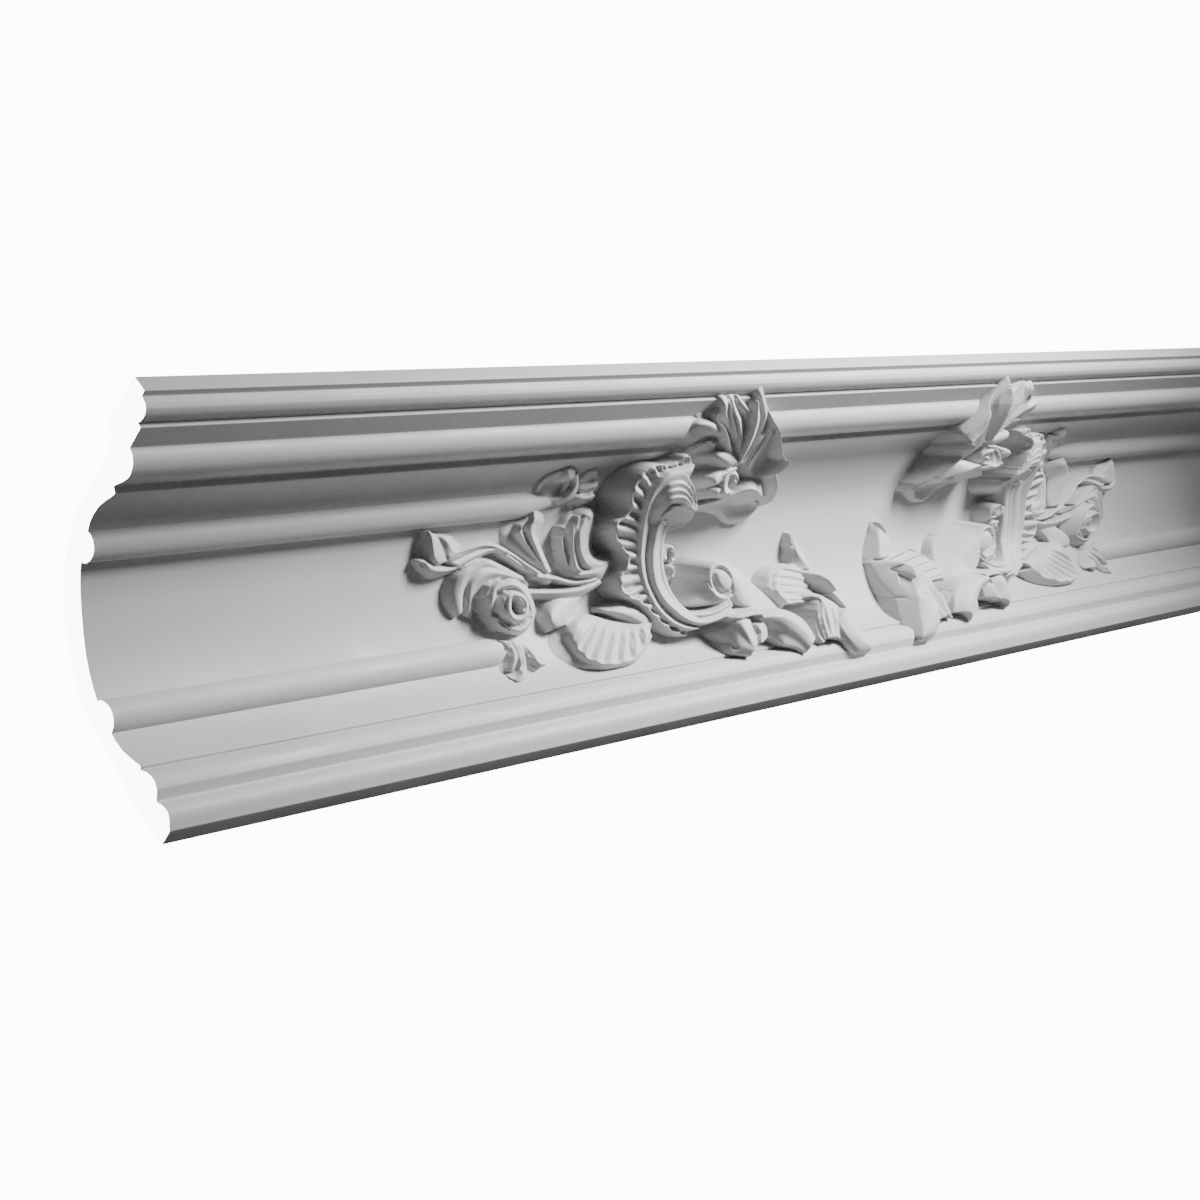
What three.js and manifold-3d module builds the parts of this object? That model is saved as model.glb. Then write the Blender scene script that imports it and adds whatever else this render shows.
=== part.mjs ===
// A cornice moulding with two mirrored rococo ornaments, cast in one piece of white foam.
// Millimetres. +X runs along the moulding, -Y faces the room, +Z is up, and the origin is
// the middle of the face that is glued to the wall.
import * as THREE from "three";
import { mergeVertices } from "three/addons/utils/BufferGeometryUtils.js";
import Module from "manifold-3d";

const wasm = await Module();
wasm.setup();
const { Manifold, Mesh } = wasm;

// Driving sizes. The section and the carving are drawn at DRAWN_LEG, with the ornament's
// symmetry plane at DRAWN_SYMMETRY along the run, and both grow with the real leg.
const LENGTH = 1340;
const LEG = 170;
const WALL_FACE = 37;
const CEILING_FACE = 31;
const SYMMETRY_FROM_LEFT = 699;
const DRAWN_LEG = 170;
const DRAWN_SYMMETRY = 699;
const LOWER_MITRE_GAP = 11.5;
const UPPER_MITRE_GAP = 4;
const FOOT_DEPTH = 4;
const SMALLEST_DETAIL = 0.8;
const SLIVER = 0.4;
const UPPER_BAR = { along: 153.5, out: -49, radius: 9, end: 340, fadeEnd: 392, fadeRadius: 3.5 };
const LOWER_BAR = { along: 62.7, out: -42.7, radius: 10.2, end: 286, fadeEnd: 306, fadeRadius: 5 };
const BAR_SIDES = 16;

const HALF_LENGTH = LENGTH / 2;
const HALF_WALL_FACE = WALL_FACE / 2;
const DIAGONAL = Math.SQRT1_2;
const GROWTH = LEG / DRAWN_LEG;
const SYMMETRY_X = SYMMETRY_FROM_LEFT - HALF_LENGTH;

// A point of the ornament is [run, along, out]: along climbs the chord that joins the bottom
// edge to the top edge, and out leaves that chord at a right angle, towards the viewer.
function place([run, along, out]) {
  const x = SYMMETRY_X + (run - DRAWN_SYMMETRY) * GROWTH;
  const y = -(along + out) * DIAGONAL * GROWTH;
  const z = (along - out) * DIAGONAL * GROWTH;
  return new THREE.Vector3(x, y, z - HALF_WALL_FACE);
}

// The section's points are [from the wall, up from the bottom edge].
function drawn(points) {
  return points.map(([y, z]) => new THREE.Vector2(y, z).multiplyScalar(GROWTH));
}

function spline(points, steps) {
  const curve = new THREE.CatmullRomCurve3(
    points.map((p) => new THREE.Vector3(...p)),
    false,
    "centripetal",
  );
  return curve.getPoints(steps).map((p) => p.toArray());
}

function flatSpline(points, steps) {
  return new THREE.SplineCurve(drawn(points)).getPoints(steps);
}

// A closed geometry as a solid, turned to face out.
function solid(geometry) {
  const bare = new THREE.BufferGeometry();
  bare.setAttribute("position", geometry.getAttribute("position"));
  if (geometry.index) bare.setIndex(geometry.index);
  const merged = mergeVertices(bare, 1e-3);
  const corners = Array.from(merged.index.array);
  const kept = [];
  for (let i = 0; i < corners.length; i += 3) {
    const [a, b, c] = corners.slice(i, i + 3);
    if (a !== b && b !== c && a !== c) kept.push(a, b, c);
  }
  const vertProperties = merged.attributes.position.array;
  const make = (triVerts) => new Manifold(new Mesh({ numProp: 3, vertProperties, triVerts }));
  const made = make(new Uint32Array(kept));
  return made.volume() > 0 ? made : make(new Uint32Array(kept.reverse()));
}

// The section of the run, anticlockwise from the back of the ceiling face down the front.
const topFillet = drawn([[-DRAWN_LEG, DRAWN_LEG], [-DRAWN_LEG, 159], [-166, 159]]);
const crownBead = flatSpline([[-166, 159], [-164.6, 154.3], [-159, 150.6], [-153.6, 152.4]], 5);
const soffit = drawn([[-153.4, 149.2], [-139.6, 149]]);
const torus = flatSpline([[-139, 148], [-137.4, 143.6], [-130, 139.8], [-122.3, 141.8], [-115.2, 145.4]], 7);
const coveCurve = [
  [-113.3, 142.2], [-105.3, 145.5], [-92.5, 147.8], [-76, 143.2], [-58.5, 133.5],
  [-38.4, 113.5], [-22, 89], [-15.4, 66], [-14.5, 52], [-19.4, 37.3],
];
const cove = flatSpline(coveCurve, 17);
const step = drawn([[-17.4, 36.6]]);
const upperBead = flatSpline([[-18.4, 35.4], [-21.4, 31], [-21.4, 24.6], [-15, 17.6]], 5);
const lowerBead = flatSpline([[-14.7, 16.4], [-17.1, 11.4], [-15.9, 5.4], [-10.9, 1]], 5);
const underside = [...drawn([[-10.7, 0], [0, 0]]), new THREE.Vector2(0, WALL_FACE)];
const backCurve = [
  [-1.6, 41], [-4.2, 50], [-4.4, 68], [-7.5, 87.5], [-16.2, 105.8], [-35.6, 131.3],
  [-60.9, 150.8], [-87, 158.8], [-112, 158.8], [-125, 158.4], [-134.2, 163.3],
];
const back = flatSpline(backCurve, 15);
const ceilingEdge = [new THREE.Vector2(CEILING_FACE - LEG, LEG)];

function runBody() {
  const parts = [topFillet, crownBead, soffit, torus, cove, step, upperBead, lowerBead, underside];
  const points = [...parts, back, ceilingEdge].flat();
  const extruded = new THREE.ExtrudeGeometry(new THREE.Shape(points), { depth: LENGTH, bevelEnabled: false });
  const axes = new THREE.Matrix4().makeBasis(
    new THREE.Vector3(0, 1, 0),
    new THREE.Vector3(0, 0, 1),
    new THREE.Vector3(1, 0, 0),
  );
  extruded.applyMatrix4(axes);
  extruded.translate(-HALF_LENGTH, 0, -HALF_WALL_FACE);
  return solid(extruded);
}

// A half-sunk round bar along the run that thins out where the ornament begins.
function bar(size) {
  const [begin, end, fadeEnd] = [0, size.end, size.fadeEnd].map((run) => place([run, size.along, size.out]));
  const radius = size.radius * GROWTH;
  const fadeRadius = size.fadeRadius * GROWTH;
  const length = end.x + HALF_LENGTH;
  const fadeLength = fadeEnd.x + HALF_LENGTH;
  const round = new THREE.LatheGeometry(
    [
      new THREE.Vector2(0, 0),
      new THREE.Vector2(radius, 0),
      new THREE.Vector2(radius, length),
      new THREE.Vector2(fadeRadius, fadeLength),
      new THREE.Vector2(0, fadeLength),
    ],
    BAR_SIDES,
  );
  round.rotateZ(-Math.PI / 2);
  round.translate(-HALF_LENGTH, begin.y, begin.z);
  return solid(round);
}

// How far out the bare cove lies at a height along the chord, less the depth of a foot.
const coveOut = coveCurve.concat([[-21.4, 28], [-14.7, 16.4], [-16, 8]]).map(([y, z]) => ({
  along: (z - y) * DIAGONAL,
  out: -(y + z) * DIAGONAL,
}));
const aboveCove = [[-113.3, 142.2], [-130, 139.8], [-146, 149], [-159, 150.6], [-LEG, 165]];
const groundProfile = aboveCove
  .map(([y, z]) => ({ along: (z - y) * DIAGONAL, out: -(y + z) * DIAGONAL }))
  .concat(coveOut)
  .sort((a, b) => a.along - b.along);

function footOut(along) {
  const i = groundProfile.findIndex((p) => p.along >= along);
  if (i <= 0) return groundProfile.at(i).out - FOOT_DEPTH;
  const [low, high] = [groundProfile[i - 1], groundProfile[i]];
  const share = (along - low.along) / (high.along - low.along || 1);
  return low.out + (high.out - low.out) * share - FOOT_DEPTH;
}

// A surface through several curves that run side by side, with upright walls down into the
// cove, as a mould that is pulled straight off leaves them.
function sheet(curves) {
  const rows = curves[0].map((_, i) => curves.map((curve) => curve[i]));
  return prism(rows, false);
}

// The curve that lies a share of the way from one curve to another, raised by a lift.
function between(from, to, share, lift) {
  return from.map((p, i) => {
    const [run, along, out] = p.map((value, k) => value + (to[i][k] - value) * share);
    return [run, along, out + lift];
  });
}

// A leaf or stem between two edges, swollen by a bulge halfway across.
function band(edgeA, edgeB, bulge, steps, across = 2) {
  const a = spline(edgeA, steps);
  const b = spline(edgeB, steps);
  const shares = Array.from({ length: across + 1 }, (_, j) => j / across);
  return sheet(shares.map((share) => between(a, b, share, bulge * Math.sin(Math.PI * share))));
}

// A rounded boss, petal or lobe on an oval outline, turned by a tilt in degrees.
function dome(centre, halfLong, halfShort, tilt, rise, sides = 12, rings = 2) {
  const [run, along, out] = centre;
  const turn = THREE.MathUtils.degToRad(tilt);
  const rows = Array.from({ length: rings + 1 }, (_, i) => {
    const share = i / rings;
    return Array.from({ length: sides }, (_, j) => {
      const angle = (2 * Math.PI * j) / sides;
      const long = halfLong * share * Math.cos(angle);
      const short = halfShort * share * Math.sin(angle);
      return [
        run + long * Math.cos(turn) - short * Math.sin(turn),
        along + long * Math.sin(turn) + short * Math.cos(turn),
        out - rise * share * share,
      ];
    });
  });
  return prism(rows, true);
}

// Closes a grid of surface points with walls and a foot. A round grid wraps across its rows.
function prism(rows, isRound) {
  const wide = rows[0].length;
  const last = isRound ? wide : wide - 1;
  const foot = rows.map((row) => row.map(([run, along]) => [run, along, footOut(along)]));
  const points = [...rows.flat(), ...foot.flat()].map((p) => place(p).toArray());
  const index = [];
  const quad = (p, q, r, s) => index.push(p, q, r, p, r, s);
  const top = (i, j) => i * wide + (j % wide);
  const low = (i, j) => rows.length * wide + top(i, j);
  for (let i = 0; i < rows.length - 1; i += 1) {
    for (let j = 0; j < last; j += 1) {
      quad(top(i, j), top(i + 1, j), top(i + 1, j + 1), top(i, j + 1));
      quad(low(i, j), low(i, j + 1), low(i + 1, j + 1), low(i + 1, j));
    }
    if (!isRound) {
      quad(top(i, 0), low(i, 0), low(i + 1, 0), top(i + 1, 0));
      quad(top(i, last), top(i + 1, last), low(i + 1, last), low(i, last));
    }
  }
  const end = rows.length - 1;
  for (let j = 0; j < last; j += 1) {
    if (!isRound) quad(top(0, j), top(0, j + 1), low(0, j + 1), low(0, j));
    quad(top(end, j), low(end, j), low(end, j + 1), top(end, j + 1));
  }
  const geometry = new THREE.BufferGeometry();
  geometry.setAttribute("position", new THREE.Float32BufferAttribute(points.flat(), 3));
  geometry.setIndex(index);
  return solid(geometry);
}

// Leaves and stems at the outer end of the left ornament.
function outerLeaves() {
  return [
    band(
      [[421, 101, -40], [398, 97, -42], [366, 101, -44]],
      [[418, 112, -36], [397, 110, -38], [365, 108, -43]],
      2, 4,
    ),
    band(
      [
        [367, 103, -42], [351, 115, -41], [334, 125, -41], [316, 129, -41], [301, 127, -42],
        [285, 120, -43], [262, 114, -45],
      ],
      [
        [371, 107, -43], [353, 119, -43], [337, 129, -44], [320, 134, -45], [300, 135, -45],
        [281, 132, -45], [260, 128, -46],
      ],
      1, 9,
    ),
    band(
      [[254, 142, -44], [244, 136, -42], [240, 126, -41], [244, 116, -42], [258, 112, -44]],
      [[256, 139, -45], [256, 134, -47], [256, 127, -47], [262, 122, -47], [272, 120, -46]],
      -1, 6,
    ),
    band(
      [[305, 121, -41], [282, 121, -40], [272, 114, -42], [267, 105, -44], [270, 95, -45], [277, 85, -43]],
      [[334, 109, -41], [314, 111, -40], [297, 112, -38], [288, 106, -38], [282, 97, -39], [278, 85, -42]],
      2, 7,
    ),
    band(
      [[416, 97, -40], [388, 90, -42], [362, 93, -42], [338, 92, -40]],
      [[418, 102, -39], [388, 98, -40], [360, 99, -40], [334, 103, -38]],
      1.5, 6,
    ),
    band(
      [[360, 97, -40], [351, 88, -36], [352, 79, -36], [361, 73, -37]],
      [[382, 95, -41], [378, 88, -38], [377, 81, -38], [371, 75, -38]],
      2, 4,
    ),
    band(
      [[326, 142, -49], [330, 128, -49], [345, 115, -47], [362, 106, -46]],
      [[348, 152, -42], [348, 139, -41], [354, 125, -41], [368, 109, -43]],
      -2, 6,
    ),
    sheet([
      spline([[388, 149, -45], [378, 136, -48], [375, 123, -49], [378, 109, -48], [390, 102, -44]], 7),
      spline([[393, 145, -41], [382, 132, -40], [381, 121, -40], [386, 111, -41], [400, 105, -41]], 7),
      spline([[396, 145, -42], [390, 130, -44], [389, 119, -44], [393, 110, -43], [407, 106, -41]], 7),
      spline([[403, 142, -38], [402, 129, -39], [399, 120, -39], [403, 114, -38], [420, 112, -37]], 7),
    ]),
    band(
      [[347, 161, -44], [357, 170, -40], [367, 175, -36], [376, 177, -31]],
      [[369, 156, -42], [378, 160, -37], [381, 166, -32], [380, 173, -30]],
      -4, 5,
    ),
    band(
      [[366, 152, -44], [384, 152, -42], [401, 156, -40], [409, 162, -38], [410, 167, -36]],
      [[368, 158, -44], [380, 161, -42], [388, 166, -40], [396, 173, -37], [407, 174, -36]],
      -1, 5,
    ),
  ];
}

// The open rose, the three petals that hang below it and the shell lobe beside it.
function flowers() {
  return [
    dome([319, 94, -32], 21, 20, 0, 9, 16),
    dome([313, 92, -28.6], 14, 13, 20, 5, 12),
    dome([318, 94, -26.5], 6, 6, 0, 3, 8),
    band(
      [[296, 104, -37], [290, 97, -36], [290, 90, -36], [294, 83, -37]],
      [[312, 108, -33], [303, 100, -32], [299, 92, -32], [304, 84, -34]],
      1, 4,
    ),
    band(
      [[299, 86, -36], [306, 77, -38], [320, 73, -40], [334, 80, -39]],
      [[308, 86, -32], [314, 82, -32], [322, 80, -33], [330, 84, -35]],
      1, 5,
    ),
    band(
      [[314, 79, -37], [302, 72, -33], [287, 57, -28.6]],
      [[316, 72, -36], [311, 60, -27], [296, 51, -26]],
      3, 4,
    ),
    band(
      [[311, 76, -37], [310, 62, -27], [301, 51, -24], [306, 45, -20]],
      [[318, 73, -36], [320, 60, -27], [314, 51, -22], [312, 46, -19]],
      2, 4,
    ),
    band(
      [[316, 75, -37], [317, 62, -30], [318, 51, -24], [326, 49, -23]],
      [[321, 74, -37], [329, 64, -31], [335, 57, -27], [336, 51, -24]],
      1, 4,
    ),
    band(
      [
        [336, 64, -31], [347, 58, -30], [363, 52, -27], [380, 47, -26.5], [398, 44, -26],
        [416, 44, -26], [436, 50, -27], [449, 60, -29],
      ],
      [
        [338, 71, -33], [352, 76, -34], [368, 78, -34], [385, 76, -34], [402, 74, -33],
        [422, 71, -33], [440, 69, -32], [452, 65, -30],
      ],
      2, 9, 3,
    ),
    band(
      [[403, 75, -35], [418, 71, -32], [435, 67, -31], [452, 64, -31]],
      [[406, 82, -37], [421, 83, -34], [438, 79, -33], [454, 70, -31]],
      2, 5,
    ),
  ];
}

// The shell frill and the C-scroll that it runs round, with the volute that closes it.
function scroll() {
  const frillEdge = [
    [474, 179, -9], [455, 178, -11], [436, 172, -14], [425, 163, -17], [419, 150, -20], [419, 138, -25],
    [426, 124, -29], [426, 113, -29], [419, 101, -30], [422, 90, -29], [436, 81, -27], [449, 72, -25],
    [458, 62, -23], [470, 54, -22], [490, 53, -21],
  ];
  const rim = [
    [478, 166, -8], [460, 165, -9], [444, 160, -12], [438, 151, -15], [436, 141, -20], [438, 130, -26],
    [442, 119, -30], [444, 108, -31], [447, 96, -31], [450, 86, -29], [455, 77, -27], [462, 70, -25],
    [472, 64, -22], [490, 59, -20], [512, 56, -20],
  ];
  const ribbonOuter = [
    [477, 157, -9], [460, 154, -11], [452, 145, -17], [452, 134, -24], [453, 122, -29], [453, 107, -31],
    [456, 96, -31], [460, 86, -29], [466, 77, -27], [475, 70, -25], [486, 65, -22], [500, 62, -20],
    [516, 61, -19], [530, 64, -19],
  ];
  const ribbonInner = [
    [478, 146, -11], [470, 141, -17], [467, 131, -26], [467, 120, -31], [467, 108, -32], [470, 97, -32],
    [474, 88, -31], [480, 80, -29], [490, 73, -26], [502, 70, -24], [512, 70, -22], [521, 73, -21],
  ];
  const steps = 17;
  const [frill, lip, outer, inner] = [frillEdge, rim, ribbonOuter, ribbonInner].map((c) => spline(c, steps));
  return [
    sheet([frill, between(frill, lip, 0.5, -2), lip, between(lip, outer, 0.4, -4), outer, inner]),
    band(
      [[444, 160, -12], [450, 150, -16], [456, 141, -20], [461, 130, -25]],
      [[474, 158, -8.5], [477, 150, -8.5], [476, 142, -11], [468, 134, -17]],
      5, 5, 3,
    ),
    dome([521, 87, -24], 18.3, 15.4, -24, 2, 14),
    dome([522, 88, -22.5], 10, 8, -25, 2, 12),
    dome([480, 115, -33], 9, 6, 60, 3, 10),
    dome([480, 99, -34], 8, 5, 40, 3, 10),
  ];
}

// The ribbed cone behind the volute and the hook leaf with its two feet.
function hook() {
  return [
    band(
      [[530, 98, -40], [548, 98, -44], [562, 89, -42], [573, 77, -38], [590, 63, -28]],
      [[526, 65, -19], [545, 68, -16], [562, 66, -13], [578, 62, -11], [592, 56, -9]],
      8, 6, 3,
    ),
    band(
      [[523, 53, -6], [543, 61, -6], [561, 60, -5], [574, 54, -4], [581, 46, -2], [583, 35, 1]],
      [[519, 66, -9], [541, 69, -8], [566, 65, -7], [586, 58, -5], [597, 49, -3], [592, 35, 1]],
      1.5, 8,
    ),
    band(
      [[512, 62, -12], [511, 52, -6], [516, 42, 2]],
      [[533, 66, -9], [526, 54, -4], [528, 40, 2.5]],
      1.5, 4,
    ),
    band([[534, 64, -9], [536, 54, -5], [543, 47, -1]], [[543, 66, -9], [549, 57, -5], [553, 49, -1]], 1, 3),
  ];
}

// The leaf at the inner end of the scroll. Its right edge runs past the mitre plane, which
// gives the cut face its outline.
function innerLeaf() {
  return [
    band(
      [[644, 115, -53], [634, 98, -46], [606, 92, -37], [592, 83, -31], [592, 74, -27], [604, 66, -23]],
      [[654, 113, -53], [652, 106, -45], [657, 97, -42], [656, 92, -36], [654, 87, -28], [652, 80, -18]],
      2, 7,
    ),
    band(
      [[602, 69, -23], [626, 64, -16], [628, 57, -9], [634, 47, -2], [642, 38, 2], [650, 29, 6]],
      [
        [652, 82, -19], [650, 75, -10], [654, 65, -6], [658, 55, -1], [664, 45, 1], [670, 34, 4],
        [672, 28, 7],
      ],
      1, 7,
    ),
    dome([613, 43, -5], 13, 8, -50, 4, 10),
  ];
}

// The acanthus group at the top of the scroll. The mitre cuts its tall inner leaf, which
// hangs down to the cove in a tail.
function topLeaves() {
  return [
    band(
      [[456, 188, -15], [471, 190, -10], [493, 193, -8], [514, 187, -10]],
      [[466, 204, -5], [482, 201, -3], [499, 197, -5], [516, 190, -10]],
      3, 4,
    ),
    band(
      [[462, 178, -20], [481, 178, -17], [500, 180, -15], [512, 178, -14]],
      [[468, 190, -14], [484, 192, -12], [499, 191, -12], [514, 188, -12]],
      2, 4,
    ),
    band(
      [[468, 205, -4], [491, 217, 4.6], [499, 210, 3], [498, 200, 0], [507, 189, -5], [514, 178, -10]],
      [[490, 219, 4.6], [511, 219, 4.6], [521, 207, 2], [533, 198, 0], [534, 188, -4], [527, 172, -9]],
      1.5, 7, 3,
    ),
    band(
      [
        [533, 225, 7], [530, 207, 3], [532, 193, -1], [530, 181, -6], [524, 170, -11],
        [540, 160, -16], [566, 156, -24], [585, 146, -36], [606, 134, -48],
      ],
      [
        [541, 226, 7], [547, 215, 6], [554, 203, 8], [560, 192, 11], [567, 181, 13], [575, 171, 10],
        [584, 167, 3],
        [596, 165, -13], [606, 161, -22], [620, 146, -28], [628, 143, -36], [636, 138, -42], [643, 136, -50],
      ],
      -2, 13,
    ),
    dome([506, 171, -12], 13, 6, -15, 4, 10),
    dome([508, 160, -16], 9, 6, 20, 3, 10),
    dome([516, 151, -18], 9, 6, 30, 3, 10),
    band(
      [[496, 142, -33], [520, 138, -35], [542, 132, -37], [560, 126, -39], [580, 134, -36]],
      [[500, 150, -24], [526, 153, -19], [544, 155, -17], [562, 152, -18], [576, 143, -24]],
      2, 6,
    ),
  ];
}

// Each group is trimmed by an upright plane at 45 degrees to the run, so that the moulding
// can be sawn to a mitre through an inside corner without cutting the ornament.
function trimmed(solids, gap) {
  const limit = SYMMETRY_X - gap;
  return Manifold.union(solids).trimByPlane([-DIAGONAL, DIAGONAL, 0], -limit * DIAGONAL);
}

const lowerParts = [...outerLeaves(), ...flowers(), ...scroll(), ...hook(), ...innerLeaf()];
const lowerGroup = trimmed(lowerParts, LOWER_MITRE_GAP);
const upperGroup = trimmed(topLeaves(), UPPER_MITRE_GAP);
const ornament = Manifold.union([lowerGroup, upperGroup]).simplify(SMALLEST_DETAIL);
const leftHalf = Manifold.union([ornament, bar(UPPER_BAR), bar(LOWER_BAR)]);
const rightHalf = leftHalf.mirror([1, 0, 0]).translate([2 * SYMMETRY_X, 0, 0]);
const overrun = rightHalf.trimByPlane([-1, 0, 0], -HALF_LENGTH);
const joined = Manifold.union([runBody(), leftHalf, overrun]).simplify(SLIVER);
// Keeping the one outer skin fills the small pockets that lie sealed between two leaves.
const casting = joined.decompose().reduce((a, b) => (b.volume() > a.volume() ? b : a));

const made = casting.getMesh();
const castingGeometry = new THREE.BufferGeometry();
castingGeometry.setAttribute("position", new THREE.BufferAttribute(made.vertProperties, 3));
castingGeometry.setIndex(new THREE.BufferAttribute(made.triVerts, 1));
castingGeometry.computeVertexNormals();

const primedFoam = new THREE.MeshStandardMaterial({ color: 0xe9e9e6, roughness: 0.75 });
const moulding = new THREE.Mesh(castingGeometry, primedFoam);
moulding.name = "cornice_moulding";

const part = new THREE.Group();
part.add(moulding);
export default part;
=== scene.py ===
import bmesh
import bpy
import numpy as np
from mathutils import Matrix, Vector


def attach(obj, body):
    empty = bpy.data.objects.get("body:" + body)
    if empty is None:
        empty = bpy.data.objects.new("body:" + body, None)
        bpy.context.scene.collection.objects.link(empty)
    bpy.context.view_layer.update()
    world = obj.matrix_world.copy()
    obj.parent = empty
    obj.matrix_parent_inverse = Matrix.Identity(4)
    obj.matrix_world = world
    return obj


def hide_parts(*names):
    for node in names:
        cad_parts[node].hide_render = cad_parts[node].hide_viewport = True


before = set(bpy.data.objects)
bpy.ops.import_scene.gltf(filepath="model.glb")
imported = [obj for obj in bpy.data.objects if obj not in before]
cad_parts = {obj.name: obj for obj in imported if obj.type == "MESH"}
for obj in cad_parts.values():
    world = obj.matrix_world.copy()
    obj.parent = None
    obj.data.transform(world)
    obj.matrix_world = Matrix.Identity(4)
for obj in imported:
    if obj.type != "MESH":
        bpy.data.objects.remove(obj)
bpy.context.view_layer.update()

# The run: one length of corner cornice, moulded in dense white foam. Its section is drawn in
# millimetres from the wall and from the bottom edge, with its corners eased as the primer
# leaves them, and it is drawn out along the length.
LENGTH = 1340.0
MIDDLE = LENGTH / 2
HALF_WALL_FACE = 18.5
EASED_EDGE = 0.7
MOST_OF_A_SIDE = 0.45
SHARP_BEND = 25.0
STATIONS = 9

FRONT = [
    (-169.8, 169.6), (-169.8, 159.1), (-166.1, 158.9), (-165.4, 155.0), (-163.6, 152.5),
    (-161.0, 151.2), (-158.5, 150.9), (-155.8, 151.5), (-153.6, 152.6), (-153.4, 149.3),
    (-139.5, 149.0), (-139.2, 147.6), (-138.2, 145.2), (-136.2, 142.8), (-133.4, 140.9),
    (-129.6, 139.8), (-125.8, 140.3), (-122.3, 141.9), (-115.7, 145.6), (-113.3, 142.2),
    (-109.5, 143.6), (-105.3, 145.4), (-98.8, 147.4), (-92.5, 147.8), (-87.2, 147.2), (-83.6, 145.8),
    (-78.0, 143.6), (-71.5, 141.0), (-64.5, 137.8), (-58.5, 133.5), (-52.4, 128.0), (-46.4, 122.1),
    (-38.4, 113.5), (-31.2, 104.7), (-25.8, 96.4), (-22.0, 89.0), (-19.9, 83.9), (-17.0, 75.0),
    (-14.9, 66.0), (-14.3, 59.4), (-14.6, 52.3), (-16.2, 46.2), (-19.4, 37.3), (-17.4, 36.6),
    (-18.4, 35.2), (-20.1, 32.8), (-21.5, 29.3), (-21.8, 27.0), (-21.6, 25.0), (-19.8, 21.1),
    (-15.0, 17.6), (-14.6, 16.7), (-16.3, 14.0), (-17.2, 10.3), (-17.1, 8.2), (-16.4, 6.4),
    (-14.1, 3.6), (-11.6, 1.5), (-10.7, 0.4), (0.0, 0.0),
]
BACK = [
    (0.0, 37.0), (-1.8, 41.0), (-4.2, 50.0), (-4.6, 59.0), (-4.6, 68.0), (-5.6, 78.0), (-7.7, 87.5),
    (-11.2, 97.0), (-16.4, 105.8), (-25.0, 118.8), (-35.8, 131.3), (-47.8, 142.6), (-61.0, 150.6),
    (-74.0, 155.8), (-87.0, 158.6), (-99.5, 159.2), (-112.0, 158.9), (-125.0, 158.6), (-134.2, 163.3),
    (-139.0, 169.6),
]


def eased(points):
    """The outline with every real corner cut to a small arc and shallow bends kept."""
    loop = [np.array(p, float) for p in points]
    out = []
    for before, here, after in zip(loop[-1:] + loop[:-1], loop, loop[1:] + loop[:1]):
        back = before - here
        ahead = after - here
        back_side = np.linalg.norm(back)
        ahead_side = np.linalg.norm(ahead)
        bend = np.degrees(np.arccos(np.clip(-back @ ahead / back_side / ahead_side, -1, 1)))
        if bend < SHARP_BEND:
            out.append(here)
            continue
        reach = min(EASED_EDGE, back_side * MOST_OF_A_SIDE, ahead_side * MOST_OF_A_SIDE)
        first = here + back / back_side * reach
        last = here + ahead / ahead_side * reach
        for share in (0.0, 0.25, 0.5, 0.75, 1.0):
            out.append((1 - share) ** 2 * first + 2 * share * (1 - share) * here + share**2 * last)
    return np.array(out)


def tube_faces(first, around, rings, reverse=False):
    """Faces between rings of points that follow one another in a list."""
    faces = []
    for start in range(first, first + (rings - 1) * around, around):
        for j in range(around):
            after = (j + 1) % around
            face = (start + j, start + around + j, start + around + after, start + after)
            faces.append(face[::-1] if reverse else face)
    return faces


section = eased(FRONT + BACK)
around = len(section)
run_points = []
for station in np.linspace(0, LENGTH, STATIONS):
    for y, z in section:
        run_points.append(((station - MIDDLE) / 1000, y / 1000, (z - HALF_WALL_FACE) / 1000))
run_faces = tube_faces(0, around, STATIONS)
count = len(run_points)
end_faces = [tuple(range(around)), tuple(range(count - 1, count - 1 - around, -1))]

# The two round beads along the cove, moulded with the run. Outside the ornaments they are full
# half rounds, and they thin out to a stem where the leaves take over. Their hidden half is
# flatter, so that it stays inside the foam.
UPPER_BEAD = dict(climb=153.5, lift=-49.0, radius=9.0, full_to=334.0, gone_at=384.0, thin=2.6)
LOWER_BEAD = dict(climb=62.7, lift=-42.7, radius=10.2, full_to=298.0, gone_at=322.0, thin=4.0)
SYMMETRY = 699.0
DIAGONAL = 0.5 ** 0.5
CAP_INSET = 0.03
SUNK_DEPTH = 0.35
BEAD_SIDES = 48
TAPER_LEAD = 30
TAPER_RINGS = 14


def in_frame(points):
    """Points given as run, climb along the wall chord and lift off it, in metres in the frame."""
    run, climb, lift = np.asarray(points, float).T
    y = -(climb + lift) * DIAGONAL
    z = (climb - lift) * DIAGONAL - HALF_WALL_FACE
    return np.stack([run - MIDDLE, y, z], axis=1) / 1000


def bead_rings(bead, mirrored):
    """Rings of points from the sawn end to where the bead dies away under the leaves."""
    turns = np.linspace(0, 2 * np.pi, BEAD_SIDES, endpoint=False)
    sawn_at = 2 * SYMMETRY - LENGTH + CAP_INSET if mirrored else CAP_INSET
    tapering = np.linspace(bead["full_to"] - TAPER_LEAD, bead["gone_at"], TAPER_RINGS)
    rings = []
    for run in [sawn_at, *tapering]:
        share = np.clip((run - bead["full_to"]) / (bead["gone_at"] - bead["full_to"]), 0, 1)
        radius = bead["radius"] + (bead["thin"] - bead["radius"]) * share * share * (3 - 2 * share)
        depth = np.where(np.sin(turns) > 0, radius, radius * SUNK_DEPTH)
        along = np.full(BEAD_SIDES, 2 * SYMMETRY - run if mirrored else run)
        climb = bead["climb"] + radius * np.cos(turns)
        lift = bead["lift"] + depth * np.sin(turns)
        rings.append(np.stack([along, climb, lift], axis=1))
    return rings


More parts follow.
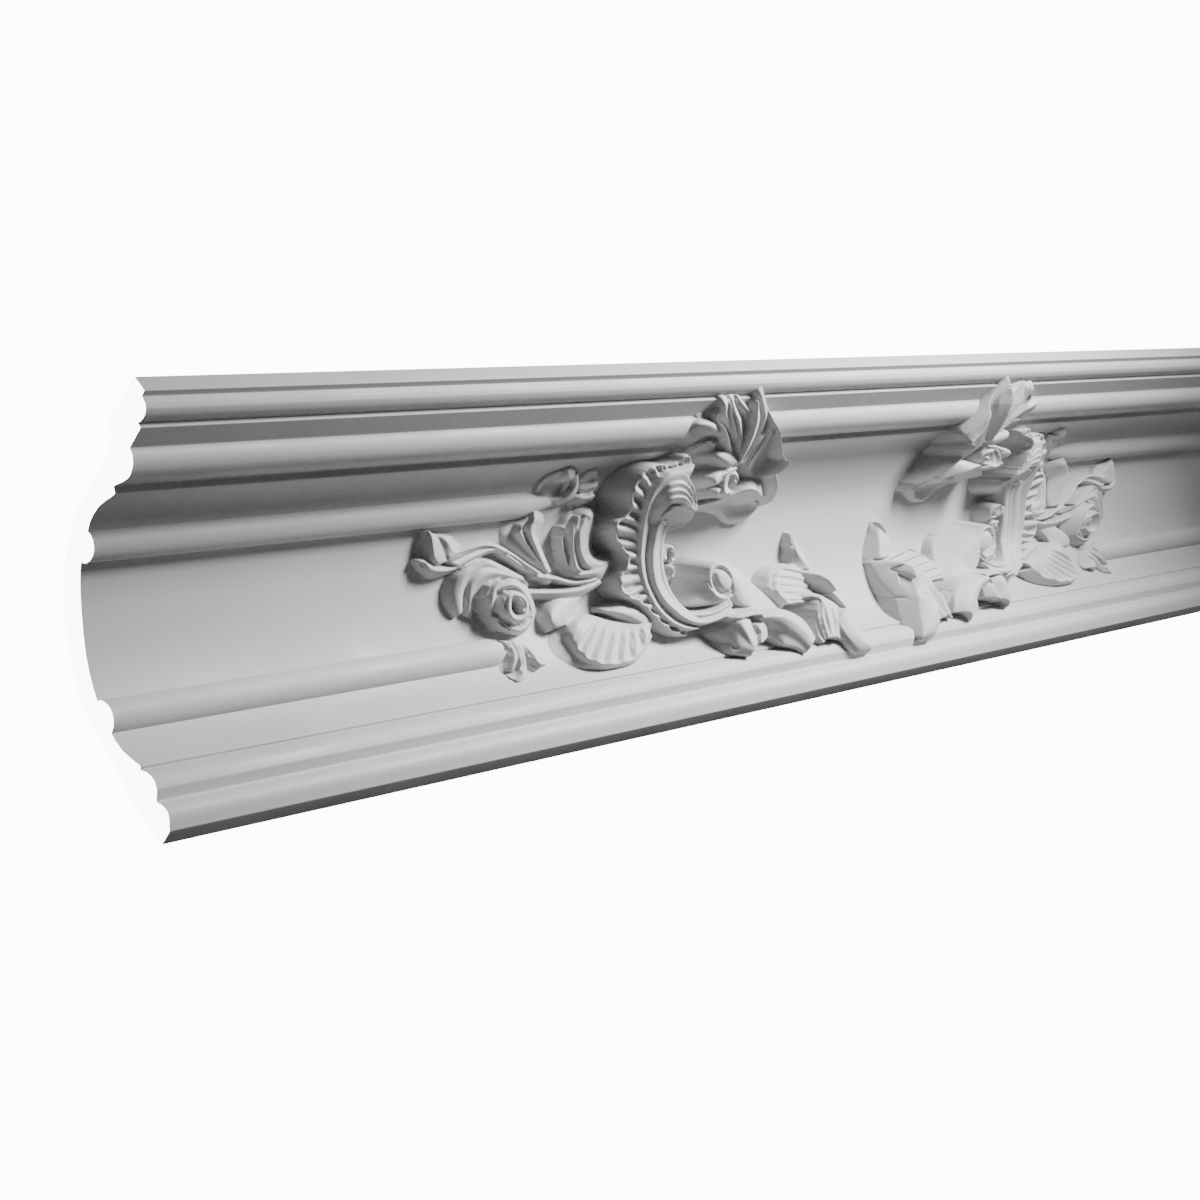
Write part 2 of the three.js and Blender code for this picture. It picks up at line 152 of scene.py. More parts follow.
for bead in (UPPER_BEAD, LOWER_BEAD):
    for mirrored in (False, True):
        rings = bead_rings(bead, mirrored)
        first = len(run_points)
        for ring in rings:
            run_points.extend(map(tuple, in_frame(ring)))
        run_faces += tube_faces(first, BEAD_SIDES, len(rings), reverse=mirrored)
        sawn_cap = tuple(range(first, first + BEAD_SIDES))
        inner_cap = tuple(range(len(run_points) - BEAD_SIDES, len(run_points)))
        end_faces.append(sawn_cap[::-1] if mirrored else sawn_cap)
        run_faces.append(inner_cap if mirrored else inner_cap[::-1])

# The run's face and back with the beads, as one piece. It has a factory primer that is sprayed
# on and sanded: chalky white, with a faint unevenness and a fine grain.
RUN_SHARP = 28
PRIMER_DARK = (0.465, 0.465, 0.46)
PRIMER_LIGHT = (0.535, 0.535, 0.532)


def new_piece(name, points, faces):
    """A mesh object from points in metres and faces."""
    mesh = bpy.data.meshes.new(name)
    mesh.from_pydata([tuple(p) for p in points], [], faces)
    mesh.update()
    piece = bpy.data.objects.new(name, mesh)
    bpy.context.scene.collection.objects.link(piece)
    return piece


def smooth(piece, sharp_angle):
    """Shades a piece smooth and leaves the edges sharp that bend by more than the angle."""
    for polygon in piece.data.polygons:
        polygon.use_smooth = True
    piece.data.set_sharp_from_angle(angle=np.radians(sharp_angle))


# The grain that primer, cut foam and floor paper share: a broad mottle and a fine grain.
grain_group = bpy.data.node_groups.new("surface_grain", "ShaderNodeTree")
for socket_name in ("Mottle Scale", "Grain Scale"):
    grain_group.interface.new_socket(socket_name, in_out="INPUT", socket_type="NodeSocketFloat")
for socket_name in ("Mottle", "Grain"):
    grain_group.interface.new_socket(socket_name, in_out="OUTPUT", socket_type="NodeSocketFloat")
group_in = grain_group.nodes.new("NodeGroupInput")
group_out = grain_group.nodes.new("NodeGroupOutput")
place = grain_group.nodes.new("ShaderNodeTexCoord")
for name, detail in (("Mottle", 4.0), ("Grain", 2.0)):
    noise = grain_group.nodes.new("ShaderNodeTexNoise")
    noise.inputs["Detail"].default_value = detail
    grain_group.links.new(place.outputs["Object"], noise.inputs["Vector"])
    grain_group.links.new(group_in.outputs[f"{name} Scale"], noise.inputs["Scale"])
    grain_group.links.new(noise.outputs["Fac"], group_out.inputs[name])


def grained(name, mottle_scale, grain_scale, dark, light, smoothest, roughest, bump_height):
    """A matt material whose colour and roughness follow the mottle and whose bump the grain."""
    material = bpy.data.materials.new(name)
    material.use_nodes = True
    tree = material.node_tree
    shader = tree.nodes["Principled BSDF"]
    texture = tree.nodes.new("ShaderNodeGroup")
    texture.node_tree = grain_group
    texture.inputs["Mottle Scale"].default_value = mottle_scale
    texture.inputs["Grain Scale"].default_value = grain_scale
    colour = tree.nodes.new("ShaderNodeMix")
    colour.data_type = "RGBA"
    colour.inputs[6].default_value = (*dark, 1)
    colour.inputs[7].default_value = (*light, 1)
    tree.links.new(texture.outputs["Mottle"], colour.inputs[0])
    tree.links.new(colour.outputs[2], shader.inputs["Base Color"])
    sheen = tree.nodes.new("ShaderNodeMapRange")
    sheen.inputs["From Min"].default_value = 0.3
    sheen.inputs["From Max"].default_value = 0.7
    sheen.inputs["To Min"].default_value = smoothest
    sheen.inputs["To Max"].default_value = roughest
    tree.links.new(texture.outputs["Mottle"], sheen.inputs["Value"])
    tree.links.new(sheen.outputs["Result"], shader.inputs["Roughness"])
    bump = tree.nodes.new("ShaderNodeBump")
    bump.inputs["Strength"].default_value = 0.5
    bump.inputs["Distance"].default_value = bump_height
    tree.links.new(texture.outputs["Grain"], bump.inputs["Height"])
    tree.links.new(bump.outputs["Normal"], shader.inputs["Normal"])
    return material


def on_casting(piece, finish):
    """Gives a piece its finish and lets it stand for the casting."""
    piece.data.materials.append(finish)
    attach(piece, "root")
    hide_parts("cornice_moulding")


run_piece = new_piece("cornice_run", run_points, run_faces)
shell = bmesh.new()
shell.from_mesh(run_piece.data)
bmesh.ops.recalc_face_normals(shell, faces=shell.faces)
shell.to_mesh(run_piece.data)
shell.free()
smooth(run_piece, RUN_SHARP)
primer = grained("white_primer", 14.0, 700.0, PRIMER_DARK, PRIMER_LIGHT, 0.52, 0.70, 0.00012)
on_casting(run_piece, primer)

# The two sawn ends: the foam itself where the saw went through the run and its beads. It is
# whiter than the primer, and its fine cells are cut open.
FOAM_DARK = (0.74, 0.74, 0.73)
FOAM_LIGHT = (0.92, 0.92, 0.91)
sawn_ends = new_piece("sawn_ends", run_points, end_faces)
sawn = bmesh.new()
sawn.from_mesh(sawn_ends.data)
bmesh.ops.delete(sawn, geom=[v for v in sawn.verts if not v.link_faces], context="VERTS")
for face in sawn.faces:
    outward = 1 if face.calc_center_median().x > 0 else -1
    if face.normal.x * outward < 0:
        face.normal_flip()
sawn.to_mesh(sawn_ends.data)
sawn.free()
foam = grained("raw_foam", 40.0, 420.0, FOAM_DARK, FOAM_LIGHT, 0.75, 0.92, 0.0006)
on_casting(sawn_ends, foam)

# The carving: a left and a right ornament of shell work and acanthus, moulded with the run and
# mirrored about an upright plane. It is laid out as a lift off the cove, one leaf, petal or
# lobe at a time, and the highest surface wins.
CELL = 0.5
RUN_FROM, RUN_TO = 232.0, 690.0
CLIMB_FROM, CLIMB_TO = 20.0, 230.0
LEAF_STEP = 0.55 * CELL
BOSS_STEP = 0.5 * CELL
columns = int((RUN_TO - RUN_FROM) / CELL)
rows = int((CLIMB_TO - CLIMB_FROM) / CELL)
carving = np.full(rows * columns, -np.inf)

# Each leaf is drawn on a sheet as it looks from one eye point in front of the run, and its
# points then move along the line of sight to their own lift over the wall chord. A sheet has
# one lift low down and another above the volute.
EYE = (-771.0, 223.0, 937.0)
SHEET_FROM, SHEET_TO = 110.0, 200.0
LEFT_SHEET = (-27.0, -27.0)
MIDDLE_SHEET = (-22.0, -22.0)
TOP_SHEET = (-22.0, 2.0)


def hermite(values, slopes, at, u, span):
    """Points on the smooth curve through the values, at share u of each span."""
    start = (2 * u**3 - 3 * u**2 + 1) * values[at] + (u**3 - 2 * u**2 + u) * span * slopes[at]
    finish = (3 * u**2 - 2 * u**3) * values[at + 1] + (u**3 - u**2) * span * slopes[at + 1]
    return start + finish


def spline(points, count):
    """A smooth curve through the points, at count even steps of the pull between them."""
    knots = np.array(points, float)
    pulls = np.sqrt(np.linalg.norm(np.diff(knots, axis=0), axis=1)) + 1e-6
    times = np.concatenate([[0.0], np.cumsum(pulls)])
    slopes = np.gradient(knots, times, axis=0)
    wanted = np.linspace(0, times[-1], count)
    at = np.clip(np.searchsorted(times, wanted, side="right") - 1, 0, len(times) - 2)
    span = (times[at + 1] - times[at])[:, None]
    return hermite(knots, slopes, at, (wanted - times[at])[:, None] / span, span)


def filled_in(stack, count, creased):
    """Fills in between the curves of a stack, smooth or with a crease along each curve."""
    stack = np.asarray(stack)
    wanted = np.linspace(0, len(stack) - 1, count)
    at = np.clip(wanted.astype(int), 0, len(stack) - 2)
    u = (wanted - at)[:, None, None]
    if creased or len(stack) == 2:
        return stack[at] * (1 - u) + stack[at + 1] * u
    return hermite(stack, np.gradient(stack, axis=0), at, u, 1.0)


def placed(points):
    """Moves points from the sheet they are drawn on along the line of sight to their lift."""
    low, high = drawn_on
    run, climb, lift = points.T
    sheet = low + (high - low) * np.clip((climb - SHEET_FROM) / (SHEET_TO - SHEET_FROM), 0, 1)
    share = (EYE[2] - lift) / (EYE[2] - sheet)
    return np.stack([EYE[0] + (run - EYE[0]) * share, EYE[1] + (climb - EYE[1]) * share, lift], axis=1)


def lay(points):
    """Adds a cloud of surface points to the carving. Each cell takes their mean height."""
    global carving
    points = placed(points.reshape(-1, 3))
    column = ((points[:, 0] - RUN_FROM) / CELL).astype(int)
    row = ((points[:, 1] - CLIMB_FROM) / CELL).astype(int)
    inside = (column >= 0) & (column < columns) & (row >= 0) & (row < rows)
    cell = row[inside] * columns + column[inside]
    count = np.bincount(cell, minlength=rows * columns)
    total = np.bincount(cell, weights=points[inside, 2], minlength=rows * columns)
    layer = np.where(count > 0, total / np.maximum(count, 1), -np.inf)
    carving = np.maximum(carving, layer)


def leaf(curves, swell=0.0, creased=False, carve=None):
    """A leaf through curves that run side by side from its root to its tip.

    swell rounds each strip between two curves, creased leaves a crease along every curve, and
    carve(s, t) changes the lift at share s of the leaf's length and share t of its width.
    """
    strips = len(curves) - 1
    fine = [spline(c, 60) for c in curves]
    long = max(np.linalg.norm(np.diff(c, axis=0), axis=1).sum() for c in fine)
    wide = max(np.linalg.norm(a - b, axis=1).max() for a, b in zip(fine, fine[1:])) * strips
    steps = int(long / LEAF_STEP) + 8
    across = int(wide / LEAF_STEP) + 8
    surface = filled_in([spline(c, steps) for c in curves], across, creased)
    t = np.linspace(0, 1, across)[:, None]
    s = np.linspace(0, 1, steps)[None, :]
    strip = np.clip((t * strips).astype(int), 0, strips - 1)
    surface[:, :, 2] += swell * np.sin(np.pi * (t * strips - strip))
    if carve:
        surface[:, :, 2] += carve(s, t)
    lay(surface)


def boss(centre, half_long, half_short, tilt, rise, roundness=2.0, shape=None):
    """A rounded petal, lobe or knob on an oval outline, turned by a tilt in degrees."""
    radii = np.linspace(0, 1, int(half_long / BOSS_STEP) + 6)[:, None]
    turns = np.linspace(0, 2 * np.pi, int(2 * np.pi * half_long / BOSS_STEP) + 12)[None, :]
    long = half_long * radii * np.cos(turns)
    short = half_short * radii * np.sin(turns)
    lean = np.radians(tilt)
    run = centre[0] + long * np.cos(lean) - short * np.sin(lean)
    climb = centre[1] + long * np.sin(lean) + short * np.cos(lean)
    lift = centre[2] - rise * radii**roundness * np.ones_like(turns)
    if shape:
        lift = lift + shape(radii)
    lay(np.stack([run, climb, lift], axis=2))


# The outer tip: a leaf end that curls forward where the ornament begins, with a concave face
# and a thin rim that runs under it. Like every leaf here it is foam, cast in one with the run.
drawn_on = LEFT_SHEET
leaf([
    [(233, 146, -50), (227, 141, -52), (225, 134, -53), (226, 127, -53), (229, 122, -52)],
    [(235, 145.5, -48), (231, 139, -51), (230, 133, -52), (231, 128, -51.5), (233, 125, -50.5)],
    [(235, 146, -46), (239, 141, -44), (240, 134, -43), (241, 128, -43), (245, 124, -43.5)],
    [(239, 144, -46), (246, 139, -45.5), (249, 134, -45.5), (250, 129, -45), (253, 125, -45)],
    [(243, 142, -46), (250, 139.5, -43.5), (255, 135, -43), (257, 131, -43), (263, 127, -43.5)],
    [(247, 142, -49), (256, 140.5, -50), (262, 136, -50), (268, 133, -49), (275, 130, -47)],
], 0.3, creased=True)
leaf([
    [(225, 126, -53), (228, 120, -53), (235, 116, -53), (244, 116, -52), (256, 118.5, -51),
     (266, 121, -50)],
    [(227, 127.5, -47), (233, 124, -45), (239, 121, -44.5), (247, 119.6, -44), (257, 119.8, -44.5),
     (268, 122.5, -45)],
    [(233, 129, -49), (238, 127, -49.5), (244, 124.5, -49.5), (250, 122.6, -48), (258, 122, -47),
     (268, 124, -46.5)],
], 0.4)

# The stem: an S-shaped twig that joins the outer tip to the middle leaves. It is cast with a
# round ridge and a shallow groove beside it, and falls off steeply to the cove.
leaf([
    [(347, 105.5, -46), (338, 110.8, -48), (325, 117.8, -50), (312, 125, -51), (298, 132, -52),
     (285, 135.5, -52), (270, 135, -51), (255, 133, -48)],
    [(347, 104.8, -42), (338, 109.8, -42), (325, 116.5, -42), (312, 123.3, -42), (298, 130, -42.5),
     (285, 132.8, -43), (270, 131.8, -43), (254, 129, -43.5)],
    [(347, 104.2, -42.5), (338, 109.2, -43.5), (323, 116, -44), (311, 122.5, -44.5), (298, 129, -45),
     (288, 130.5, -45.5), (274, 128.5, -45.5), (255, 124, -45)],
    [(347, 103.6, -42), (338, 108.7, -42.5), (322, 115.4, -43), (310, 122, -43.5), (298, 127.6, -44),
     (290, 128.3, -44), (276, 125.5, -44), (262, 121.5, -44.5)],
    [(347, 103, -46), (337, 108.2, -47), (321, 114.5, -49), (309, 121, -51), (298, 126, -52),
     (290, 126.7, -52), (276, 123.5, -51), (262, 119.5, -50)],
], 0.3)

# The broad leaf: it hangs over the rose from the stem, with its tip curled down to the left.
# Its edge is moulded low and its middle high, so that it looks thin.
leaf([
    [(318, 110.6, -49), (296, 121, -51), (284, 125, -52), (268, 121.5, -52), (250, 116, -53),
     (244, 109, -53.5), (243, 102, -53.5), (247, 95.5, -52.5), (254, 89.5, -51)],
    [(320, 110, -41.5), (298, 118.5, -42), (285, 123, -42.5), (272, 121, -43), (264, 115, -43.5),
     (261, 109, -44), (260, 103, -44), (260, 97, -44.5), (261, 92, -46)],
    [(322, 108, -40.5), (302, 115, -40.5), (289, 118.5, -41.5), (278, 117.5, -42.5), (270, 112, -44),
     (266.5, 106, -46), (265.5, 101, -48), (264.5, 97, -48.5), (263.5, 93, -48.5)],
    [(325, 106, -41), (306, 111, -40), (294, 113, -40), (284, 111.5, -41), (275, 107, -42.5),
     (270.5, 103, -43), (269.5, 99, -43.5), (269, 95, -44.5), (267, 92, -46)],
    [(328, 104, -46), (311, 107, -47), (299, 108, -48), (288, 105, -49), (278, 101, -50),
     (273.5, 98, -51), (273, 95, -51), (272, 92, -51), (270, 89, -50)],
], 0.5)

# The fan: folds of a half-open leaf that rise side by side from the stem, cast with a crease
# along each of them. The fold on the right stands highest.
leaf([
    [(299, 145.5, -52), (297.5, 141, -53), (298, 136, -53.5), (302, 129.5, -53.5), (315, 122, -53),
     (328, 115.5, -51), (342, 109, -46)],
    [(308, 146, -51), (305, 142, -51), (304, 138, -51), (307, 132.5, -50.5), (317, 125, -49),
     (329, 117, -46.5), (342, 109.3, -44)],
    [(318, 148, -50.5), (315, 143, -50.5), (313, 138, -49.5), (316, 133, -48.5), (321, 128, -47.5),
     (331, 119, -45.5), (342.5, 109.6, -44)],
    [(325, 150, -49), (321, 144, -50.5), (318, 139.5, -50.5), (320, 134.5, -50), (325, 128.5, -48.5),
     (334, 119, -46), (343, 110, -43.5)],
    [(332, 151, -43), (331.5, 146, -40.5), (325.5, 141, -39), (324, 137, -39), (327, 131.5, -40),
     (337, 118, -42), (344, 110, -42.5)],
    [(337, 150, -46), (337, 145, -43), (332, 141, -42), (330, 136, -42), (332.5, 131, -42.5),
     (340, 118, -43.5), (346, 110, -44)],
    [(342, 148, -52), (342, 143, -52), (339, 138, -52), (336, 134, -52), (337, 129, -52),
     (343, 118, -50), (347, 111, -48)],
], 0.2, creased=True)

# The middle leaf: two folds and a hooked edge, moulded on a broad foot against the frill. Two
# thin strands of foam lead from its foot to the stem, and a small creased leaf hangs below.
leaf([
    [(368, 151, -51), (361, 149, -52), (356, 145, -53), (351, 139, -53.5), (348.5, 132, -53.5),
     (348, 125, -53.5), (349, 118, -53.5), (353, 111, -52), (360, 106, -50), (372, 104, -47),
     (386, 104, -44)],
    [(370, 149, -49), (365, 146, -51), (361, 142, -52), (357.5, 137, -52.5), (356, 131, -52.5),
     (356, 125, -52.5), (357, 119, -52), (360, 113, -50), (366, 108, -47.5), (376, 105.5, -45),
     (388, 105, -43)],
    [(374, 145, -42), (371, 143, -41), (368, 140, -40.5), (365, 136, -40), (364, 131, -40),
     (364, 125, -40), (366, 118.5, -40), (369, 113, -40.5), (375, 109, -41), (382, 107, -41.5),
     (391, 106.5, -41.5)],
    [(377, 144, -44), (375, 142, -44), (373, 139, -44), (372, 134.5, -42.5), (371.5, 129, -42.5),
     (371.5, 123.5, -42.5), (373, 117.5, -42.5), (376, 112.5, -43), (381, 109, -42.5),
     (387, 107.5, -41.5), (394, 107.5, -41)],
    [(380, 145, -40), (378.5, 142.5, -39), (377, 139, -39), (375.5, 134, -39), (375, 129, -39),
     (375.5, 123.5, -39), (378, 117.5, -39), (381, 112.5, -38.5), (386, 110, -39), (392, 109, -39.5),
     (398, 109.5, -40)],
    [(385, 147, -40), (389, 144.5, -39), (388.5, 140, -39), (386, 135, -39.5), (384, 130, -40),
     (383.5, 126, -40), (384, 120, -40), (387, 115, -39), (393, 112.5, -39), (400, 112, -39),
     (406, 113, -40)],
    [(388, 149, -47), (393, 145, -48), (393, 139, -49), (390, 134, -49), (388, 129, -49),
     (388, 124, -49), (389, 119, -48), (393, 117, -46), (399, 116.5, -45), (405, 116.5, -45),
     (410, 115, -46)],
], 0.2, creased=True)
boss((387, 143, -37.5), 3.6, 3.2, 30, 2.5)
leaf([
    [(372, 104, -46), (385, 102, -46), (393, 99.5, -48), (401, 104.5, -48), (408.5, 110, -47)],
    [(374, 106, -41), (386, 105, -40), (395, 104.5, -40), (402, 108, -41), (408.5, 112.3, -43)],
    [(376, 108, -42), (388, 109, -39.5), (397, 110.5, -39.5), (403, 113, -40.5), (409, 114.3, -44)],
], 0.5)
leaf([
    [(334, 111, -48), (352, 107.6, -48), (362, 104.6, -47), (375, 102.9, -45), (392, 104, -43)],
    [(334, 108.8, -41.5), (351, 105.8, -41), (361, 103, -40.5), (375, 101.5, -40), (392, 102.3, -40)],
    [(333, 107, -48), (350, 104, -48), (360, 101, -47), (375, 99.9, -45), (392, 100.5, -43)],
], 0.3)
leaf([
    [(318, 102.8, -49), (340, 100.7, -49), (360, 99.6, -48), (380, 99.8, -45), (396, 102, -43)],
    [(318, 100.8, -42.5), (341, 98.8, -41), (362, 97.5, -40), (380, 98.2, -40), (396, 101, -40)],
    [(318, 97, -46), (342, 94, -45), (363, 92, -44), (381, 94, -43), (397, 99, -43)],
], 0.3)
leaf([
    [(334, 92, -49), (331, 85, -49), (333, 78, -46), (341, 72.5, -41)],
    [(349, 93.5, -44), (343.5, 87, -40), (343.5, 81, -37), (350, 75, -36)],
    [(362, 94, -43.5), (356, 88, -39.5), (355, 81, -37), (358, 75.5, -36.5)],
    [(378, 94, -45), (371, 87, -42.5), (369, 80, -40), (367, 74, -38)],
], 0.5, creased=True)

# The two cups: hollow leaves with a rolled edge, moulded where the upper bead dies away into
# the ornament. A low knob closes the gap between them.
leaf([
    [(330, 160, -48), (334, 166, -44), (342, 171.5, -40), (354, 176.3, -36.5), (367, 178, -33)],
    [(335.5, 161.5, -43), (340.5, 166.3, -40), (348, 169.8, -37), (357, 172, -34.5), (367, 172.8, -31)],
    [(341, 160, -50), (348, 162, -51), (356, 164.5, -49), (363, 167, -44), (369, 169, -34)],
    [(345, 156.8, -46), (354, 155.5, -43.5), (364, 157, -40), (371, 162, -35), (374.5, 168, -31.5)],
    [(350, 153, -47), (361, 152.5, -46), (371, 155.5, -44), (377, 162, -40), (378, 172, -36)],
], 0.2)
boss((368.5, 172, -29.5), 6.5, 5, 15, 3)
leaf([
    [(372, 165, -45), (378, 171.5, -40), (386, 175.3, -37), (394, 176, -35.5)],
    [(376, 164.5, -42), (383, 168, -37.5), (390, 170, -35.5), (397, 170.5, -34.5)],
    [(378, 162.8, -43), (385, 163.8, -43), (391, 165, -42), (397.5, 166, -38)],
    [(379, 161, -40), (386, 161.5, -38), (392, 162.5, -37), (398, 164, -36.5)],
    [(378, 158.5, -42), (384, 158, -43.5), (389, 158.3, -43), (394, 160, -41)],
    [(374, 156.5, -42), (381, 155, -39.5), (388, 155.5, -38.5), (393, 157.5, -38.5)],
    [(368, 152.5, -46), (377, 151.5, -46), (387, 152, -46), (395, 156, -46)],
], 0.1)

# The open rose: petals that lie round a low bud, the outermost on the left. They are cast as
# shallow steps, so that the mould lets go of them.
boss((310.5, 91.5, -42), 17, 17, 0, 3)
leaf([
    [(301, 112.5, -47), (291, 112.8, -49), (282, 110.8, -50.5), (276, 106.5, -51), (272.8, 101, -51),
     (273, 95, -51), (276, 89, -51), (280, 83, -50), (285, 79, -48), (293, 78.3, -46)],
    [(301, 111.5, -42), (292, 111, -43), (285.5, 108.5, -44), (280.5, 104.5, -45), (278, 100, -45.5),
     (278.5, 95, -45.5), (281, 89.5, -45.5), (284.5, 85, -45), (289, 81.5, -44.5), (295, 80, -44)],
    [(301, 110.3, -38.5), (294, 109.5, -38.5), (288.5, 106.5, -39), (285.5, 103, -39.5),
     (284.5, 99, -40), (285, 95, -40.5), (286.5, 91, -41), (289, 87.5, -41), (292, 84.5, -41.5),
     (297, 82, -42)],
    [(301, 109.5, -36), (296.5, 108, -35), (292.5, 105, -34.5), (291, 101, -34.5), (290, 97.5, -35.5),
     (289, 94.5, -37.5), (289.5, 92, -40), (291, 89.5, -41), (294, 87, -42), (298, 84, -43)],
    [(301.5, 107.5, -39), (298, 106.3, -39), (295.5, 103.5, -39), (294, 100, -39.5), (292.5, 96.5, -40),
     (291.5, 94, -41), (291.5, 91.5, -42), (293, 89, -42), (296, 87, -43), (300, 85, -43)],
])
leaf([
    [(299, 111.5, -45), (307, 112, -47), (314, 110.5, -48), (320, 107, -48), (325, 101.5, -48),
     (328.5, 95.5, -48), (330, 89, -48), (329, 83, -47)],
    [(296.5, 104.5, -36.5), (302, 106.7, -35), (308, 107, -34.5), (314, 105.3, -34.5),
     (319.3, 101.3, -35), (323.5, 96, -35.5), (326, 90, -36.5), (326, 85, -38)],
    [(294.5, 101.5, -41), (299, 102, -40.5), (305, 102, -40), (311, 101.5, -40), (316.5, 98.5, -40),
     (320, 94.5, -40), (321.5, 90, -40), (321.5, 86, -41)],
], 0.4)
leaf([
    [(289.5, 84.5, -46), (296, 79.5, -48), (303, 75.5, -48.5), (309, 72.8, -48.5), (316, 73.3, -48.5),
     (322, 76.5, -48), (327.5, 82, -48)],
    [(292.5, 87.3, -38), (297, 82.8, -36.5), (303, 79.2, -35.5), (310, 77, -35.5), (317, 77.5, -35.5),
     (323, 80.8, -36), (327, 86, -37)],
    [(296, 88.5, -42), (300, 84.5, -41), (305, 81.5, -40.5), (311, 80, -40.5), (316, 80.5, -40.5),
     (321, 83, -40.5), (324, 87, -41)],
], 0.4)
leaf([
    [(302, 104, -39), (295.5, 100.5, -40.5), (292.3, 95.5, -41.5), (293.5, 90, -41.5), (297, 86.3, -41),
     (302, 83.3, -40.5), (308, 81.2, -40), (315, 81, -39.5), (321, 83.5, -39), (324.5, 88, -38.5)],
    [(304, 102.5, -35), (299.5, 98.5, -36), (298, 94.5, -36.5), (299, 90, -36.5), (301.5, 87, -36.5),
     (305, 84.7, -36.5), (309.5, 83, -36), (315, 82.5, -35.5), (320.5, 84.5, -35.5), (324, 88.5, -36)],
    [(308.5, 100.5, -30.5), (305.8, 97, -30), (304.7, 93, -30), (305.2, 89.5, -30.3), (307, 86.7, -31),
     (309.5, 84.9, -31.5), (312.5, 83.9, -32), (316, 83.9, -32.5), (320, 85.5, -33), (323, 89, -34)],
    [(311, 98.5, -36), (308.8, 95.5, -37), (308, 92.5, -37.5), (308.5, 90, -37.5), (310, 88.3, -37.5),
     (312, 87.3, -37.5), (314, 87, -37), (316.5, 87.5, -36.5), (318.5, 89, -36), (320, 91, -36)],
], 0.1)
leaf([
    [(309, 103.5, -39), (314.5, 102.5, -39.5), (320.5, 99.5, -39.5), (324, 95, -39.5),
     (324.5, 91, -39.5), (322.5, 87, -39)],
    [(308.5, 100.3, -31.5), (312.5, 99.5, -31), (317, 97.3, -31), (320, 94.3, -31.3),
     (320.7, 91.3, -32), (319.5, 88.5, -33)],
    [(310.5, 98, -36), (313, 97, -37), (316, 95, -37.5), (317.3, 92.7, -37.5), (317.2, 91, -37.5),
     (316.3, 89.3, -37)],
], 0.4)

# Three drop petals: they hang under the rose where the lower bead dies away, moulded close to
# the cove. The outer two turn away from the one in the middle.
leaf([
    [(293, 69, -45), (287, 64, -43), (283.5, 59, -40), (287, 57, -36.5), (292, 54, -33),
     (300, 51.2, -30)],
    [(297, 70, -43), (293, 65, -41.5), (291, 61, -39), (293, 58.5, -36), (297, 56, -33),
     (301, 52.3, -29.5)],
    [(300, 71, -40), (300.5, 66, -38), (300.5, 61, -35), (301, 58, -32.5), (301.5, 55.5, -30.5),
     (302.5, 53, -28)],
    [(302, 71.5, -37), (305.8, 67.5, -32), (308.7, 62.5, -29), (309, 59, -27.5), (307.5, 56, -26.5),
     (304.5, 53.3, -26.5)],
    [(304, 72, -41), (308, 67.5, -39), (310.8, 62.5, -36), (311, 58, -34), (310, 55, -32),
     (307, 52, -30)],
])
leaf([
    [(306, 71.5, -41), (310.5, 66, -38), (311.8, 60, -34), (310.5, 55, -32), (305, 51.5, -29.5),
     (301, 50, -28)],
    [(308, 71, -38), (312.5, 65.5, -32), (313.5, 60, -28), (313.5, 54.5, -26.5), (310.5, 50, -26.5),
     (306, 47, -25.5)],
    [(310, 70.5, -38), (315, 65, -31.5), (316.7, 60, -27), (317.2, 55, -24.5), (316.3, 50, -23),
     (312, 45, -22)],
    [(312, 70, -41), (317.5, 65, -38), (318.8, 60, -34), (319.3, 55, -31), (319.8, 50, -28),
     (318.8, 46.5, -24.5)],
], 0.3, creased=True)
leaf([
    [(311, 69.5, -41), (317, 63, -38), (318.5, 57, -34), (319.5, 52, -31), (327, 49, -28)],
    [(312.5, 69.5, -39), (319, 64, -35), (322, 59, -32), (324.5, 55, -29.5), (331, 50.5, -27)],
    [(314, 69.3, -38), (321, 64.5, -33), (326, 60.5, -29.5), (331, 57, -27), (336.5, 53, -25)],
    [(316, 69, -42), (324, 65, -40), (330, 61, -37), (336, 57.5, -34), (340, 53, -30)],
], 0.3)


# The shell lobe: a long lip of foam beside the rose, with a slanting row of oval pits that the
# mould sinks into its upper half, and a smooth lobe that lies over its end.
def slanting_pits(s, t):
    """Oval pits in a slanting row along the upper half of the shell lobe."""
    across = np.sin(np.pi * np.clip((t - 0.40) / 0.48, 0, 1))
    along = 0.5 - 0.5 * np.cos(2 * np.pi * (s * 8 + 1.1 * t))
    return -4.2 * along * across * np.clip((s - 0.1) / 0.1, 0, 1) * np.clip((0.95 - s) / 0.08, 0, 1)


